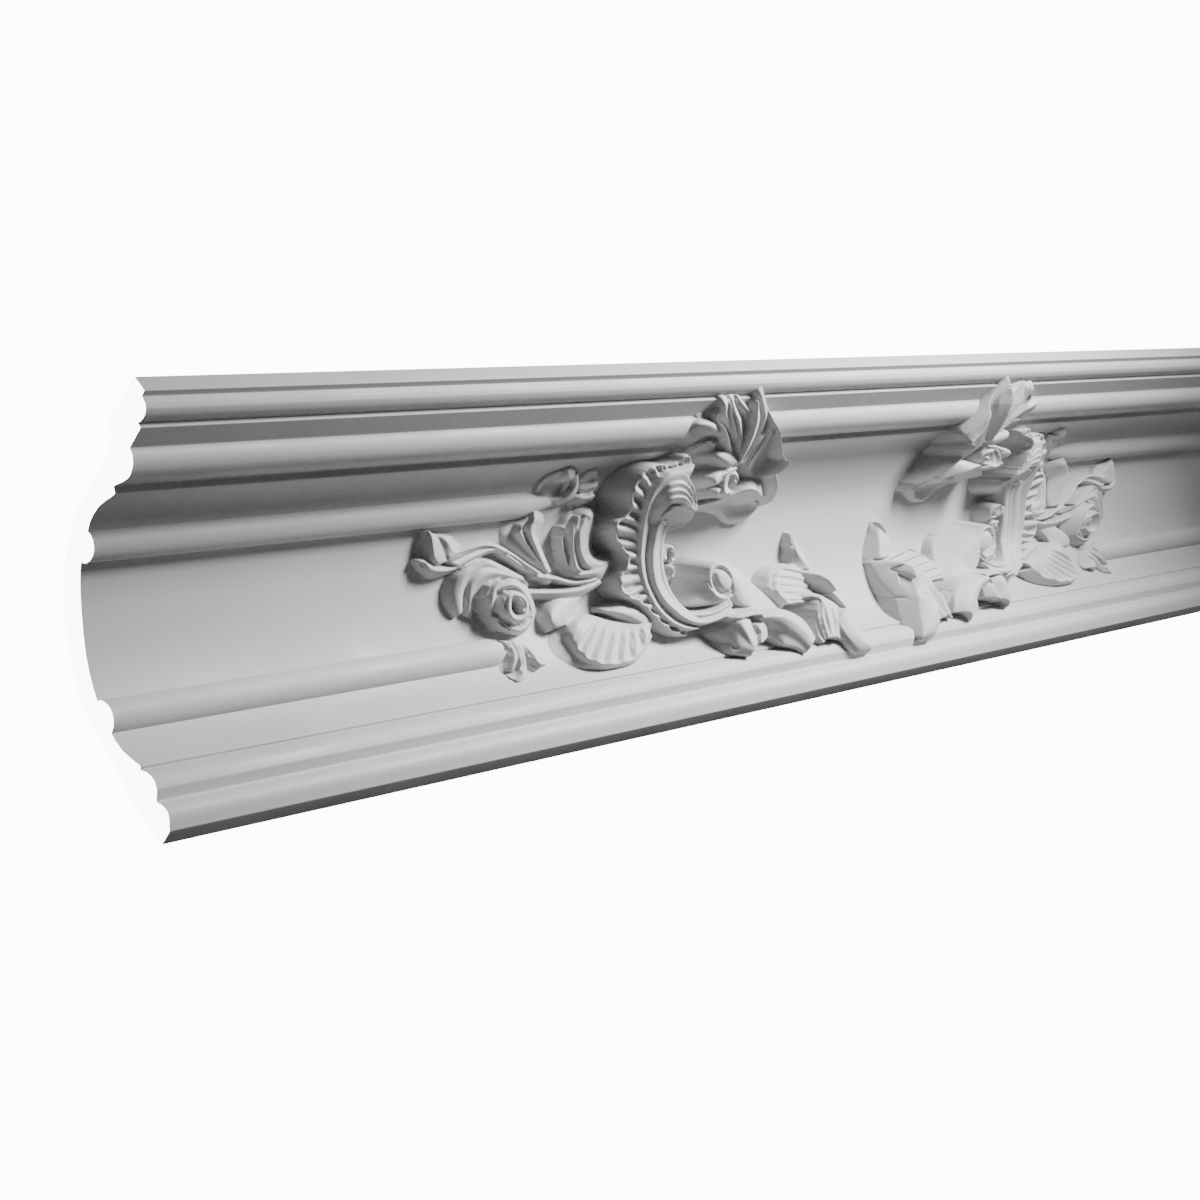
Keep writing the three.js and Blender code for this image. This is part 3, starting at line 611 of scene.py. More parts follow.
leaf([
    [(334, 71, -46), (334, 65, -42), (338, 58.5, -38), (347, 53, -34), (360, 49, -29.5),
     (376, 45.3, -24), (395, 42.8, -21), (413, 42.8, -21), (427, 44, -22), (440, 51, -28),
     (447, 60, -31)],
    [(348, 74, -42), (352, 69, -38), (357, 64, -35), (363, 58.5, -31), (370, 53, -27),
     (382, 48.5, -21.5), (396, 45, -17.5), (413, 44, -17), (427, 45.5, -18), (438, 52, -23),
     (446, 61, -28)],
    [(364, 76, -35), (367, 71, -31), (370, 65, -28), (374, 60, -25), (380, 55, -21.5),
     (390, 50.5, -17.5), (402, 48, -15.5), (415, 47.5, -15.5), (427, 49, -16.5), (438, 55, -21),
     (445, 62, -26)],
    [(373, 78.5, -35), (377, 75.5, -33), (382, 72, -31), (388, 69, -29), (395, 66, -27),
     (403, 63, -25.5), (412, 61, -24.5), (421, 61, -24.5), (429, 62, -25), (438, 64.5, -26.5),
     (446, 66, -28)],
    [(380, 81, -42), (385, 79.5, -41), (391, 78, -40), (397, 76.5, -39), (403, 75, -38),
     (410, 73.5, -37), (417, 72, -36), (424, 71, -35), (432, 70, -34), (440, 69.5, -33),
     (448, 69, -32)],
], 0.3, carve=slanting_pits)
leaf([
    [(397, 79, -41), (407, 75.5, -38), (420, 72, -35.5), (434, 66.5, -33.5), (446, 63, -32)],
    [(397.5, 81.5, -37), (410, 80, -33.5), (423, 77, -32), (436, 72, -31), (447, 66, -30.5)],
    [(399, 84.5, -44), (413, 85, -41), (427, 82.5, -38), (439, 79, -35.5), (448, 73, -33)],
], 0.6)

# The frill: a wavy shell rim round the scroll, moulded with short oval hollows between flat
# ribs that run on to the lip. The four lines follow the rim's edge, its lip, and the outer and
# inner edge of the scroll's own band.
HOLLOW_COUNT = 20
HOLLOW_DEPTH = 6.5
FRILL_EDGE = [
    (497, 172, -10), (496, 177, -9), (490, 177.5, -10), (483, 174, -12), (473, 171.5, -13),
    (462, 172.8, -14), (452, 171, -15), (444, 167.5, -17), (437.5, 162, -18.5), (432.5, 156, -20),
    (431, 149.5, -22), (429, 144.5, -24), (423, 140, -25.5), (415, 137, -27), (412, 132, -29),
    (413, 127, -30.5), (417, 122, -31), (421.5, 118, -31), (424.5, 114, -31), (424.5, 110, -31),
    (422, 106, -31.5), (418, 103, -32), (415.5, 99, -32), (416, 94, -31.5), (419.5, 90, -31),
    (425, 87, -30.5), (431, 85, -30), (437, 82, -29.5), (442, 79, -29), (447, 75, -28),
    (455, 69, -26.5), (464, 63, -25), (474, 58, -24), (487, 55.5, -23),
]
FRILL_LIP = [
    (497, 165, -7), (485, 163, -8.5), (471.6, 161.8, -10.5), (459.7, 156.8, -14), (450, 148.8, -18),
    (444.4, 138.9, -22.5), (441, 129, -26.5), (439, 119, -29.5), (438.3, 110, -30.5), (440, 101, -31),
    (443, 93, -31), (449, 84, -29.5), (455, 76.5, -27.5), (463, 70, -25.5), (473, 64.5, -23),
    (486, 60.7, -21), (500, 59, -20),
]
BAND_OUTER = [
    (468, 134, -22), (461, 134.5, -24), (456, 131, -26), (453.5, 125, -28), (450.5, 117, -29.5),
    (449.3, 110, -30), (449.5, 103, -30), (451, 96, -30), (454.4, 89.3, -29), (461.4, 81.2, -27),
    (469.4, 75.2, -25), (478.5, 69.2, -23), (488.5, 64.6, -21), (498, 61.7, -19.5), (510, 61, -18.5),
    (524, 62.5, -18), (540, 66, -17.5),
]
BAND_INNER = [
    (474, 133, -27), (467.5, 129, -31), (464.5, 124, -33), (462.5, 117, -34), (462, 110, -35),
    (462.5, 103, -35), (464.5, 96, -35), (469, 88, -34), (476, 80.5, -31), (484, 74.5, -28),
    (492, 71, -25.5), (502, 69.5, -23), (514, 69.5, -21.5), (524, 71, -20.5), (538, 75, -20),
]


def curves_between(a, b, steps):
    """Curves from a across to the nearest points of b, for steps of share and added lift."""
    one = spline(a, 160)
    other = spline(b, 600)
    across = np.linalg.norm(one[:, None, :2] - other[None, :, :2], axis=2)
    nearest = other[across.argmin(axis=1)]
    curves = []
    for share, lift in steps:
        mixed = one * (1 - share) + nearest * share
        mixed[:, 2] += lift
        curves.append(mixed)
    return curves


def rim_hollows(s, t):
    """Short oval hollows just inside the rim, between flat ribs that run on to the lip."""
    oval = (0.5 - 0.5 * np.cos(2 * np.pi * s * HOLLOW_COUNT)) ** 1.4
    inward = np.clip((t - 0.07) / 0.1, 0, 1) * np.clip((0.74 - t) / 0.5, 0, 1)
    return -HOLLOW_DEPTH * oval * inward


frill_steps = [(0.0, 0.0), (0.1, 1.0), (0.5, -1.5), (0.85, -1.5), (1.0, 0.0)]
leaf(curves_between(FRILL_EDGE, FRILL_LIP, frill_steps), creased=True, carve=rim_hollows)

# The scroll's band: a C of foam inside the frill, cast as a deep groove, a raised edge and a
# flatter inner strip. A row of small beads lies between the edge and the strip.
BEAD_COUNT = 44
FIRST_BEAD, LAST_BEAD = 12, 120
groove_steps = [(-0.18, -1.5), (0.0, 0.6), (0.15, -0.5), (0.45, -5.0), (0.9, -5.0), (1.0, 0.0)]
leaf(curves_between(FRILL_LIP, BAND_OUTER, groove_steps), 0.2)
band_steps = [
    (0.0, 0.0), (0.22, 1.2), (0.42, 0.6), (0.5, -1.5), (0.66, -1.2), (0.78, 0.6), (1.0, 0.0),
]
leaf(curves_between(BAND_OUTER, BAND_INNER, band_steps), 0.2)
bead_line = curves_between(BAND_OUTER, BAND_INNER, [(0.55, 0.4)])[0]
for bead_at in spline(bead_line[FIRST_BEAD:LAST_BEAD], BEAD_COUNT):
    boss(tuple(bead_at), 0.95, 0.95, 0, 1.2)


# The nose: the upper end of the C, which curls forward over the scroll's opening. It is cast
# in four stepped folds with a smooth lobe under them.
def stepped_folds(s, t):
    """Four folds side by side, each a step that falls away from its crest."""
    step = t * 4 - np.floor(t * 4)
    return 1.7 * (1 - step) ** 1.5 * np.clip(s / 0.35, 0, 1) * np.clip((1 - s) / 0.1, 0, 1)


drawn_on = TOP_SHEET
leaf([
    [(424, 148, -30), (433, 158, -19), (446, 165.3, -12), (460, 165.8, -9), (472, 161, -8.5),
     (481, 152, -10), (485, 141.5, -15)],
    [(430, 143, -26), (438, 152, -17), (449, 158.5, -10.5), (461, 159.3, -8.5), (472, 155.5, -8.5),
     (480, 148.5, -10.5), (484, 140.8, -15)],
    [(436, 139, -25), (442, 147, -17), (452, 152.3, -11), (462, 153, -9.5), (472, 150.3, -10),
     (479, 145.5, -12), (483, 140, -15.5)],
    [(443, 135, -25), (447, 141, -18), (455, 146.3, -12.5), (464, 147, -11.5), (472, 145.5, -12),
     (478, 142.5, -13), (482, 139, -16)],
], carve=stepped_folds)
leaf([
    [(443, 135, -26), (449, 140, -19), (457, 144, -14), (466, 145, -12.5), (474, 144, -13),
     (482, 139, -16.5)],
    [(449, 131, -33), (456, 133, -31), (463, 134.5, -28.5), (470, 135.5, -26), (477, 136.5, -22),
     (482, 138.3, -18)],
    [(452, 128, -35), (459, 129, -34), (466, 130, -32), (472, 131.5, -30), (477, 133.5, -27),
     (481, 136.5, -22)],
])


# The volute: the lower end of the C, rolled up to a cone that shows its round end. The end is
# moulded with a groove round a knob, and fine ribs cross the cone's far part.
def end_groove(radii):
    """A round groove between the rim of the volute's end and its knob."""
    return -4.5 * np.exp(-(((radii - 0.66) / 0.13) ** 2))


def cone_ribs(s, t):
    """Fine ribs across the far part of the cone."""
    ribs = np.abs(np.sin(np.pi * s * 19)) ** 0.7
    return -1.8 * ribs * np.clip((s - 0.42) / 0.1, 0, 1) * np.clip(t / 0.15, 0, 1)


drawn_on = MIDDLE_SHEET
leaf([
    [(530, 101, -45), (515, 103.5, -46), (500, 105, -47), (490, 106, -48), (482, 101.5, -47),
     (474, 94.5, -46), (470, 88, -43), (472, 81, -37), (478, 77.5, -32), (490, 75.5, -28),
     (505, 74.5, -25), (520, 74.8, -23)],
    [(529, 99, -34), (517, 102, -34.5), (507, 103, -35), (498, 102, -35), (491, 98, -34.5),
     (488, 93.5, -33.5), (487, 88, -32), (490, 83, -29), (496, 79.8, -26.5), (504, 77.8, -24.5),
     (514, 76.5, -23), (525, 76.5, -21.5)],
    [(528, 97.5, -23), (520, 101, -23), (512, 101, -23), (507, 98, -22.5), (505, 94, -22),
     (506, 89, -21.5), (509, 85, -21), (513, 81.5, -20.5), (518, 79, -20), (524, 78, -20),
     (530, 79, -20), (533, 82, -20)],
], 0.2)
boss((520, 89.5, -21.5), 16.5, 11.5, -33, 1.2, roundness=6, shape=end_groove)
boss((521.5, 90, -20.5), 9.6, 6.2, -33, 2.0, roundness=3)
leaf([
    [(505, 104.5, -47), (520, 103, -46), (534, 98.5, -45), (545, 91.8, -42), (555, 85, -38),
     (563, 80, -35), (575, 72, -29), (590, 61, -20)],
    [(515, 101, -26), (527, 97.5, -25), (536, 92, -25), (545, 86, -25.5), (554, 80.5, -25.5),
     (562, 76.5, -24.5), (575, 69.5, -21), (590, 60, -17)],
    [(529, 96, -22), (534.5, 89, -21.5), (540, 83, -21), (547, 78, -21), (555, 73.5, -20.5),
     (563, 71, -19.5), (575, 66, -17.5), (590, 59.3, -15)],
    [(533, 78, -22), (538, 73.5, -21), (544, 70.5, -20), (551, 68.8, -19), (558, 67.5, -18),
     (566, 65.8, -16.5), (577, 63, -15), (590, 58, -13)],
], carve=cone_ribs)


# Two small curls: rolled ends of foam that fill the angle between the band and the volute.
# Each is cast as a crest that follows an arc and falls off to both sides.
def arc_petal(centre, radius, width, begin, finish, lift, drop_in, drop_out):
    """A crest that follows an arc in degrees and drops in to its centre and out."""
    turns = np.radians(np.linspace(begin, finish, 12))
    edge = np.sin(np.linspace(0, np.pi, 12)) ** 0.25
    inner_slope = [(-1.0, drop_in), (-0.45, drop_in * 0.45), (0.0, 0.0)]
    outer_slope = [(0.35, drop_out * 0.25), (0.6, drop_out)]
    curves = []
    for share, fall in inner_slope + outer_slope:
        reach = radius * (0.86 + 0.14 * edge) + share * width
        run = centre[0] + reach * np.cos(turns)
        climb = centre[1] + reach * np.sin(turns)
        curves.append(np.stack([run, climb, lift - fall - 2.2 * (1 - edge)], axis=1))
    leaf(curves)


arc_petal((462, 112.5), 5.2, 2.6, -70, 230, -33.5, 5, 4)
arc_petal((462.5, 101), 3.8, 2.0, -90, 120, -33.5, 5, 4)

# The hook leaf: two folded feet under the volute with a small arch between them. They are
# moulded in high relief, and a narrow bridge of foam joins them to the volute.
leaf([
    [(502, 52.5, -28), (514, 47.3, -21), (523, 43, -15), (526, 39.7, -10), (538, 36.3, -6),
     (552, 34, -2.5)],
    [(509, 55, -23), (519, 51, -17), (527, 47.5, -12), (532, 43.5, -8), (541, 40, -4), (553, 36.5, -1)],
    [(520, 60, -19), (529, 57.5, -13), (536, 53.5, -8.5), (542, 48.5, -5.5), (548.5, 43, -2),
     (556, 38.2, 0)],
    [(530, 63, -18), (540, 61, -9), (545.5, 56, -5.5), (549, 51, -3.5), (553, 45.5, -1.5),
     (558, 40, -1)],
    [(548, 65, -18), (551, 61, -12), (552.5, 57, -10), (553.5, 53, -9.5), (555, 49, -8), (559, 43, -6)],
], 0.2)
leaf([
    [(551, 51.5, -13), (552, 46, -10), (556.5, 39.5, -6)],
    [(556, 55, -9), (558, 49, -6), (560, 41, -3)],
    [(563, 56, -7), (564.5, 49, -4), (565.3, 42, -2)],
    [(570, 57, -10), (571, 51, -9), (571, 45, -8)],
], 0.3)
leaf([
    [(564, 50, -16), (570, 46.7, -13), (578, 43.5, -10), (585, 41.3, -7), (590, 38, -5),
     (604, 34.3, -2), (618, 28.5, 0)],
    [(565, 53.5, -12), (573, 52, -10), (582, 49, -8), (590, 46, -5.5), (598, 42.5, -3.5),
     (609, 37.5, -1), (621, 30, 1)],
    [(566, 58, -7), (576, 58, -5), (587, 56.3, -3.5), (597, 53, -2), (606, 48.5, -0.5), (616, 42, 1.5),
     (626, 33, 3)],
    [(566, 62, -8), (577, 61.7, -6), (589, 60.2, -4.5), (601, 56.7, -3), (612, 51.3, -1.5),
     (621, 44.7, 0.5), (629, 36, 2)],
    [(566, 66, -17), (578, 65, -15), (592, 63, -13), (605, 59, -10), (616, 53.3, -8), (624, 46.3, -6),
     (631, 38, -4)],
], 0.2)
leaf([
    [(528, 61.5, -14), (541, 61.5, -8.5), (555, 62.3, -7.5), (568, 61.5, -7)],
    [(528, 64, -14), (541, 64.3, -10), (555, 65.3, -10), (568, 64.5, -9)],
    [(526, 67, -20), (541, 67, -20), (555, 67.5, -19), (568, 66.5, -18)],
], 0.4)


# The inner leaf: a spray of foam leaves between the volute and the mitre, cast against each
# other. One is wavy, one stands up, one turns down with veins along it, and two run out to the
# mitre.
def wavy_edge(s, t):
    """Soft waves that run in from the leaf's outer edge."""
    waves = 0.5 - 0.5 * np.cos(2 * np.pi * (s * 5.5 + 0.3))
    return -2.6 * waves * np.clip((t - 0.5) / 0.15, 0, 1)


def fine_veins(s, t):
    """Veins along the leaf that begin a third of the way from its root."""
    return 1.1 * np.cos(2 * np.pi * t * 4) * np.clip((s - 0.3) / 0.2, 0, 1)


leaf([
    [(590, 95.8, -52), (575, 95, -52), (565, 92.3, -51), (560, 87.8, -49), (558.7, 82, -45),
     (565, 77, -38), (575, 71, -30), (590, 64, -24)],
    [(592, 94.8, -44), (582, 93.8, -43.5), (574, 90.5, -42), (571, 86, -40), (571, 81, -36),
     (576, 76, -31), (583, 71, -27), (594, 65.5, -22)],
    [(593, 94, -39), (585, 93, -38), (580.7, 90, -36), (580, 86, -33), (581, 81.5, -29.5),
     (584, 77, -25.5), (589, 72, -22), (597, 66.5, -18)],
    [(605, 93.3, -38), (600, 91.5, -36.5), (597, 88.5, -34.5), (597, 84.5, -31.5), (598, 80, -28),
     (601, 75.3, -24), (604, 70.5, -20.5), (609, 66, -17)],
    [(632, 88, -42), (630.5, 85, -40), (629.5, 81.5, -37), (629.5, 78, -34), (630, 74.5, -30),
     (631, 71, -26), (632, 68, -22), (634, 65.5, -19)],
], carve=wavy_edge)
leaf([
    [(600, 118.5, -54), (591, 107, -54), (586.7, 96, -53), (587, 90, -50)],
    [(602, 117.5, -50), (600.5, 107, -47), (599, 98, -45), (601, 90, -42)],
    [(604, 116.5, -46), (608, 107, -41), (614, 99.3, -38.5), (626, 89, -36.5)],
    [(605.5, 116, -50), (613, 108.5, -47), (622, 101.5, -45), (635, 89, -43)],
], 0.2, creased=True)
leaf([
    [(632, 80, -36), (632.3, 73.5, -31), (639, 66.5, -25), (653, 59.5, -18), (666, 54, -12),
     (676, 53, -9)],
    [(634, 81.5, -33), (640, 77.5, -29), (648, 71, -25), (659, 63.5, -20), (668, 57.8, -14),
     (677, 54.3, -8)],
    [(637, 83.3, -26), (645, 82.3, -20), (654, 77.5, -14), (664, 69.3, -9), (672, 61.3, -6),
     (678, 55, -4)],
    [(640, 86, -34), (650, 85.5, -28), (660, 80.5, -22), (670, 72.5, -16), (678, 63.5, -11),
     (682, 56, -8)],
])
leaf([
    [(606, 67.5, -24), (628.5, 65.5, -18), (629.3, 52, -11), (634.5, 39.5, -6), (641, 33.5, -2)],
    [(618, 70, -19.5), (638, 67, -12), (641, 55, -6), (645, 45, -2.5), (649, 36, 0.5)],
    [(628, 71, -18), (650, 62.5, -11), (654, 53, -6), (656, 44, -2.5), (657, 36, 1)],
    [(640, 69, -17), (662, 58, -11), (667, 50, -7), (668, 42, -4), (667, 33, 0)],
], carve=fine_veins)
leaf([
    [(655, 45, -5), (664, 36.5, -1), (672, 28, 1), (684, 20.8, 2), (703, 20.5, 1)],
    [(662, 50, -3), (670, 41, 1), (680, 33, 4), (691, 26, 5), (705, 23, 4)],
    [(672, 55, -4), (682, 44, 0), (691, 35, 3), (699, 28.5, 4), (708, 24.5, 3)],
    [(677, 55, -12), (687, 44, -8), (696, 35, -4), (703, 29, -2), (711, 25, -1)],
], 0.3)
boss((613, 47, -7), 9, 6, -40, 4)

# The mitre: each group of the ornament stops at an upright plane at 45 degrees to the run, so
# that the corner can be sawn between the two ornaments without cutting a leaf.
LOWER_GAP = 11.5
UPPER_GAP = 4.0
run_at = RUN_FROM + (np.arange(columns) + 0.5) * CELL
climb_at = CLIMB_FROM + (np.arange(rows) + 0.5) * CELL


def up_to_mitre(gap):
    """The carving cut off at the mitre plane, a gap before the plane of symmetry."""
    limit = 2**0.5 * (SYMMETRY - gap - run_at[None, :]) - climb_at[:, None]
    return np.minimum(carving.reshape(rows, columns), limit)


lower_part = up_to_mitre(LOWER_GAP)

# The top group: acanthus leaves that rise from the scroll over the large torus to the soffit,
# with lobes and a curl at their foot. It is cast with the rest, in higher relief.
carving = np.full(rows * columns, -np.inf)
drawn_on = TOP_SHEET
leaf([
    [(440, 184, -24), (450, 190.5, -12), (457, 196, -6), (464, 201, -4), (478, 201, -2),
     (488, 198.5, -1), (496, 194, -3), (503, 189.5, -7)],
    [(446, 183, -24), (455, 187, -16), (462, 193, -6), (468, 198, -0.5), (478, 197.8, 1.5),
     (487, 195, 1), (495, 191.5, -1.5), (502, 188.8, -6)],
    [(455, 182, -24), (463, 185, -17), (470, 188.5, -10), (474, 192, -5), (481, 192.5, -3),
     (488, 191.5, -3.5), (495, 189.5, -5.5), (502, 187.8, -9)],
    [(462, 181, -24), (470, 184, -18), (475, 187, -13), (479, 189, -10), (485, 189.5, -9),
     (490, 189, -9), (496, 187.5, -10), (502, 186, -12)],
])
leaf([
    [(452, 180, -26), (464, 184.5, -19), (474, 187.8, -13), (484, 188.3, -11), (493, 186, -12)],
    [(455, 179, -23), (466, 182.5, -14.5), (476, 185.3, -8.5), (485, 185.8, -7), (493, 184, -9.5)],
    [(455, 176, -30), (467, 178.5, -23), (477, 180.5, -18), (486, 181, -16), (495, 180.5, -16)],
], 0.3)
leaf([
    [(464, 204, -5), (474, 200.5, -5), (484, 197.5, -6), (493, 192.5, -10), (500, 186.5, -15),
     (507, 179.5, -16), (514, 172.5, -16)],
    [(476, 210.5, -3), (482, 206, -5), (486.5, 201, -6.5), (493, 195, -9), (500.5, 189, -11),
     (506.5, 183, -13), (515, 174, -14)],
    [(492, 217, 4), (497, 210.5, 7), (494.5, 202.5, 7), (498.5, 195.5, 4), (504.5, 189, 0),
     (508.3, 182, -5), (516, 174, -12)],
    [(498, 217, 3), (502.5, 211.5, 3), (502, 204, 1), (507, 196, -2), (512, 188, -6), (513, 181, -10),
     (517, 174, -14)],
    [(504, 217.5, 4), (505.5, 211.5, 7), (509, 203.5, 6.5), (514.5, 196, 4), (518.8, 188, 0),
     (520, 180, -6), (519, 174, -11)],
    [(508, 217.5, 3.5), (510, 211.5, 2), (516, 204, -2), (521, 196, -5), (524, 188, -8.5),
     (524, 180, -11), (520, 173, -13)],
    [(512, 217, 4.6), (514, 212.8, 6), (522, 206.3, 6), (530, 199.3, 4), (532.5, 196, 1.5),
     (528, 184, -5), (521, 173, -11)],
    [(516, 217, 0), (520, 212, -1), (527, 206, -3), (534, 200, -5), (536, 195, -6), (531, 184, -11),
     (524, 173, -15)],
], 0.1)
leaf([
    [(515, 214, -6), (522, 209, -7), (530, 201, -8), (533, 191, -9), (529, 181, -12), (523, 171, -15)],
    [(529, 222, 5), (530.5, 213, 1.5), (532.5, 203, -2), (533, 192, -5), (529.5, 182, -9),
     (523.5, 171, -13)],
    [(541, 223, 7), (538, 212.5, 9), (535.3, 204, 9), (534.5, 194, 6), (531.2, 183, 0),
     (524.5, 171, -9)],
    [(542.5, 222, 6.5), (542, 211, 7), (541, 201, 5), (539, 191, 1), (534.5, 181, -5),
     (526.5, 170, -12)],
    [(545, 216, 5), (547, 205, 1.5), (546, 195, -3), (542, 186, -6.5), (536.5, 177, -10),
     (529, 168, -15)],
    [(549, 212, 6), (556, 202, 4), (558, 191, 2), (549, 185, -0.5), (541, 178, -5.5), (533, 168, -12)],
    [(555, 204.5, 6.5), (563, 193, 0), (568, 181, -8), (557, 172, -12), (547, 166, -16),
     (539, 160.5, -19)],
    [(560, 199.5, 8), (570, 188.5, 8.5), (581, 176, 8), (588, 169, 5), (577, 161.5, -5),
     (561, 158.5, -15)],
])
leaf([
    [(543, 159, -24), (551, 150, -32), (558, 139.5, -43), (562, 138.8, -46)],
    [(557, 161, -15), (563.5, 152, -21), (567.5, 146, -29), (569, 140, -38)],
    [(568, 163, -9), (574, 156, -14), (576, 148, -22), (573, 142, -33)],
], 0.4)
leaf([
    [(493, 180.5, -24), (505, 178.5, -18), (515, 174.8, -14), (524, 171, -15)],
    [(496, 176, -17), (506, 175.3, -11), (515, 172.8, -9), (523, 169.8, -12)],
    [(498, 171, -22), (507, 170.5, -17), (515, 169.8, -14), (522, 168, -15)],
], 0.6)
leaf([
    [(493, 166.5, -24), (502, 168.5, -19), (512, 168.8, -16), (523, 168, -15)],
    [(492, 162, -17), (500, 163.3, -12), (510, 165, -10.5), (522, 167, -12)],
    [(496, 155.8, -22), (504, 157.5, -18), (512, 161, -16), (521, 165.5, -16)],
], 0.6)
boss((506, 174.2, -7.5), 14, 4.6, -14, 4)
boss((499.5, 160.7, -9.5), 6.6, 4.5, 12, 4)
boss((504, 152.5, -13), 6, 3.4, 25, 4)
arc_petal((517.5, 156.5), 6.6, 3.4, -10, 300, -11, 8, 5)
leaf([
    [(484, 141.3, -42), (500, 139.8, -44), (512, 136.3, -47), (522, 130.8, -48), (533, 128.7, -48),
     (545, 131.3, -47), (555, 138.5, -44)],
    [(486, 142.5, -38), (502, 143.5, -39), (515, 144, -40), (526, 143, -42), (536, 142, -43),
     (546, 142, -42), (554.5, 142, -37)],
    [(488, 143.8, -30), (503, 145.3, -25), (516, 147.5, -21), (528, 149.5, -17), (540, 150.5, -14.5),
     (550, 148, -16), (555.5, 142, -23)],
    [(489, 145, -31), (503, 147.5, -27), (516, 150.5, -24), (528, 153.5, -20), (540, 155.5, -18),
     (552, 152.5, -19), (558, 143, -26)],
    [(490, 147, -34), (504, 150, -31), (515, 154, -28), (528, 158, -26), (541, 160, -25),
     (556, 157, -26), (562, 147, -34)],
])
carving = np.maximum(lower_part, up_to_mitre(UPPER_GAP))

# The foot and the draft: the carving sinks into the cove, and every wall leans so that the
# mould lets go. The primer then rounds the crests and fills the sharpest valleys.
FOOT = 3.5
BURIED = 2.0
DRAFT = 7.0
DRAFT_PASSES = 14
PRIMER_PASSES = 2
NEIGHBOURS = [
    ((0, 1), 1.0), ((0, -1), 1.0), ((1, 0), 1.0), ((-1, 0), 1.0),
    ((1, 1), 1.414), ((-1, 1), 1.414), ((1, -1), 1.414), ((-1, -1), 1.414),
]
front_climb = np.array([(z - y) * DIAGONAL for y, z in FRONT])
front_lift = np.array([-(y + z) * DIAGONAL for y, z in FRONT])
order = np.argsort(front_climb)
ground = np.interp(climb_at, front_climb[order], front_lift[order])[:, None]
carving = np.maximum(carving, ground - FOOT)
for _ in range(DRAFT_PASSES):
    for step, reach in NEIGHBOURS:
        carving = np.maximum(carving, np.roll(carving, step, axis=(0, 1)) - DRAFT * CELL * reach)
for _ in range(PRIMER_PASSES):
    for axis in (0, 1):
        before = np.roll(carving, -1, axis=axis)
        after = np.roll(carving, 1, axis=axis)
        carving = 0.25 * before + 0.5 * carving + 0.25 * after

# The left and the right ornament: the carving as a mesh, thinned where it is flat, and its
# mirror image. Both are the same foam as the run, and carry the same primer.
TRIANGLE_BUDGET = 165000
ORNAMENT_SHARP = 50
raised = carving > ground - BURIED
keep = raised.copy()
for step in ((0, 1), (1, 0), (1, 1)):
    keep |= np.roll(raised, step, axis=(0, 1))
keep[0, :] = keep[-1, :] = False
keep[:, 0] = keep[:, -1] = False
index = -np.ones((rows, columns), int)
index[keep] = np.arange(keep.sum())
grid_run, grid_climb = np.meshgrid(run_at, climb_at)
carved_points = in_frame(np.stack([grid_run[keep], grid_climb[keep], carving[keep]], axis=1))
corners = np.stack([index[:-1, :-1], index[:-1, 1:], index[1:, 1:], index[1:, :-1]], axis=2)
corners = corners.reshape(-1, 4)
corners = corners[(corners >= 0).all(axis=1)]

left = new_piece("left_ornament", carved_points, corners.tolist())
thin = left.modifiers.new("thin", "DECIMATE")
thin.ratio = min(1.0, TRIANGLE_BUDGET / (2 * len(corners)))
graph = bpy.context.evaluated_depsgraph_get()
thinned = bpy.data.meshes.new_from_object(left.evaluated_get(graph))
left.modifiers.clear()
left.data = thinned
mirror_at = (SYMMETRY - MIDDLE) / 1000
right_mesh = thinned.copy()
right_mesh.transform(Matrix.Translation((2 * mirror_at, 0, 0)) @ Matrix.Diagonal((-1, 1, 1, 1)))
right_mesh.flip_normals()
right = bpy.data.objects.new("right_ornament", right_mesh)
bpy.context.scene.collection.objects.link(right)
for ornament in (left, right):
    smooth(ornament, ORNAMENT_SHARP)
    on_casting(ornament, primer)

# The camera: below the moulding and to its left, where the photograph was taken from. It looks
# along the run and up, with the roll that the photograph has.
camera_data = bpy.data.cameras.new("camera")
camera_data.sensor_width = 36
camera_data.lens = 70.5
camera_data.clip_end = 20
camera = bpy.data.objects.new("camera", camera_data)
camera.location = (-1.4410, -0.8202, -0.5233)
aim = Vector((0.76734, 0.51172, 0.38643)).to_track_quat("-Z", "Y").to_matrix()
camera.rotation_euler = (aim @ Matrix.Rotation(np.radians(-38.56), 3, "Z")).to_euler()
bpy.context.scene.collection.objects.link(camera)
bpy.context.scene.camera = camera

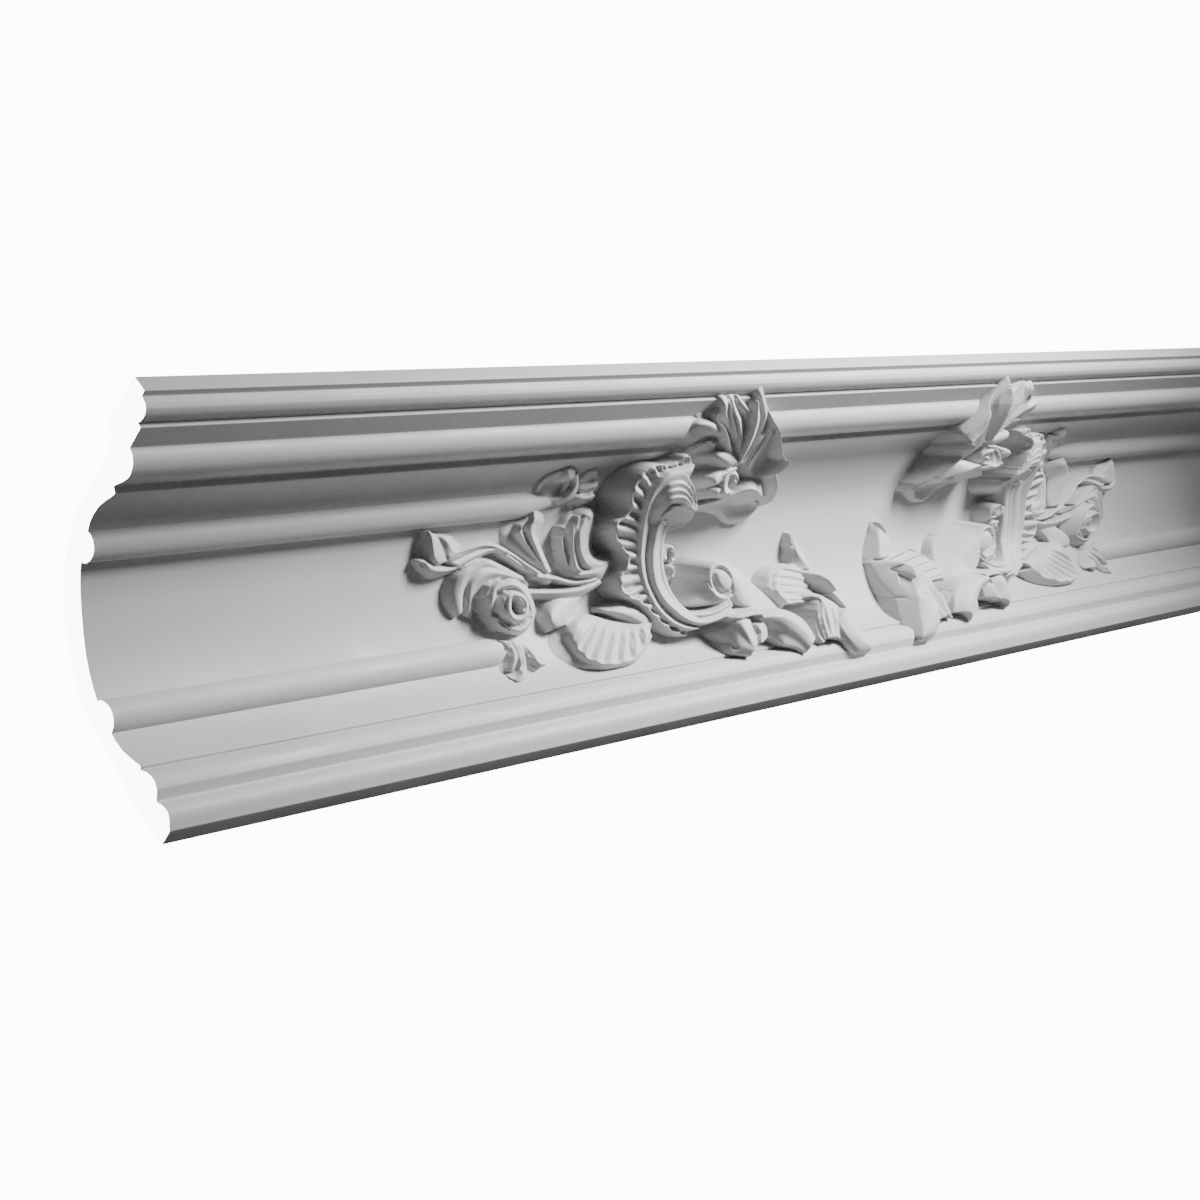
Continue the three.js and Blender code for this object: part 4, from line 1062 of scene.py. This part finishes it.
# The studio: a white backdrop with dim grey light from all round, a softbox in front, a large
# lamp behind and above for the back, and a lamp on the left that lights only the sawn end.
BACKDROP_GLOW = 16.0
world = bpy.data.worlds.new("studio")
bpy.context.scene.world = world
world.use_nodes = True
world_nodes = world.node_tree.nodes
world_links = world.node_tree.links
dim_light = world_nodes["Background"]
dim_light.inputs["Color"].default_value = (0.04, 0.04, 0.04, 1)
backdrop = world_nodes.new("ShaderNodeBackground")
backdrop.inputs["Strength"].default_value = BACKDROP_GLOW
seen = world_nodes.new("ShaderNodeLightPath")
mix = world_nodes.new("ShaderNodeMixShader")
world_links.new(seen.outputs["Is Camera Ray"], mix.inputs["Fac"])
world_links.new(dim_light.outputs["Background"], mix.inputs[1])
world_links.new(backdrop.outputs["Background"], mix.inputs[2])
world_links.new(mix.outputs["Shader"], world_nodes["World Output"].inputs["Surface"])


def area_lamp(name, energy, size, location, target):
    """A square lamp, turned towards its target."""
    lamp_data = bpy.data.lights.new(name, "AREA")
    lamp_data.energy = energy
    lamp_data.size = size
    lamp = bpy.data.objects.new(name, lamp_data)
    lamp.location = location
    lamp.rotation_euler = (Vector(target) - lamp.location).to_track_quat("-Z", "Y").to_euler()
    bpy.context.scene.collection.objects.link(lamp)
    return lamp


def shine_only_on(lamp, piece):
    """Limits a lamp to one piece and returns the collection that holds it."""
    only = bpy.data.collections.new(f"lit_by_{lamp.name}")
    only.objects.link(piece)
    lamp.light_linking.receiver_collection = only
    return only


softbox = area_lamp("softbox", 9.8, 0.5, (0.80, -1.26, 0.12), (-0.13, -0.09, 0.02))
softbox.data.spread = np.radians(56)
area_lamp("top_lamp", 60.0, 1.5, (0.0, 1.1, 1.7), (0.0, 0.1, -0.4))
end_lamp = area_lamp("end_lamp", 70.0, 0.5, (-1.35, -0.15, 0.0), (-0.67, -0.08, 0.06))
end_lamp.light_linking.blocker_collection = shine_only_on(end_lamp, sawn_ends)

# The floor: pale matt paper, far below the moulding. It has an even light of its own, and it
# throws none back on the moulding.
FLOOR_HALF = 7
FLOOR_AT = -2.6
PAPER_DARK = (0.77, 0.77, 0.77)
PAPER_LIGHT = (0.83, 0.83, 0.83)
quarters = ((-1, -1), (1, -1), (1, 1), (-1, 1))
floor_points = [(x * FLOOR_HALF, y * FLOOR_HALF, FLOOR_AT) for x, y in quarters]
floor = new_piece("floor", floor_points, [(0, 1, 2, 3)])
paper = grained("floor_paper", 3.0, 260.0, PAPER_DARK, PAPER_LIGHT, 0.80, 0.95, 0.0003)
floor.data.materials.append(paper)
floor.visible_diffuse = False
floor_light = bpy.data.lights.new("floor_lamp", "SUN")
floor_light.energy = 3.6
floor_light.angle = np.radians(60)
floor_lamp = bpy.data.objects.new("floor_lamp", floor_light)
bpy.context.scene.collection.objects.link(floor_lamp)
shine_only_on(floor_lamp, floor)
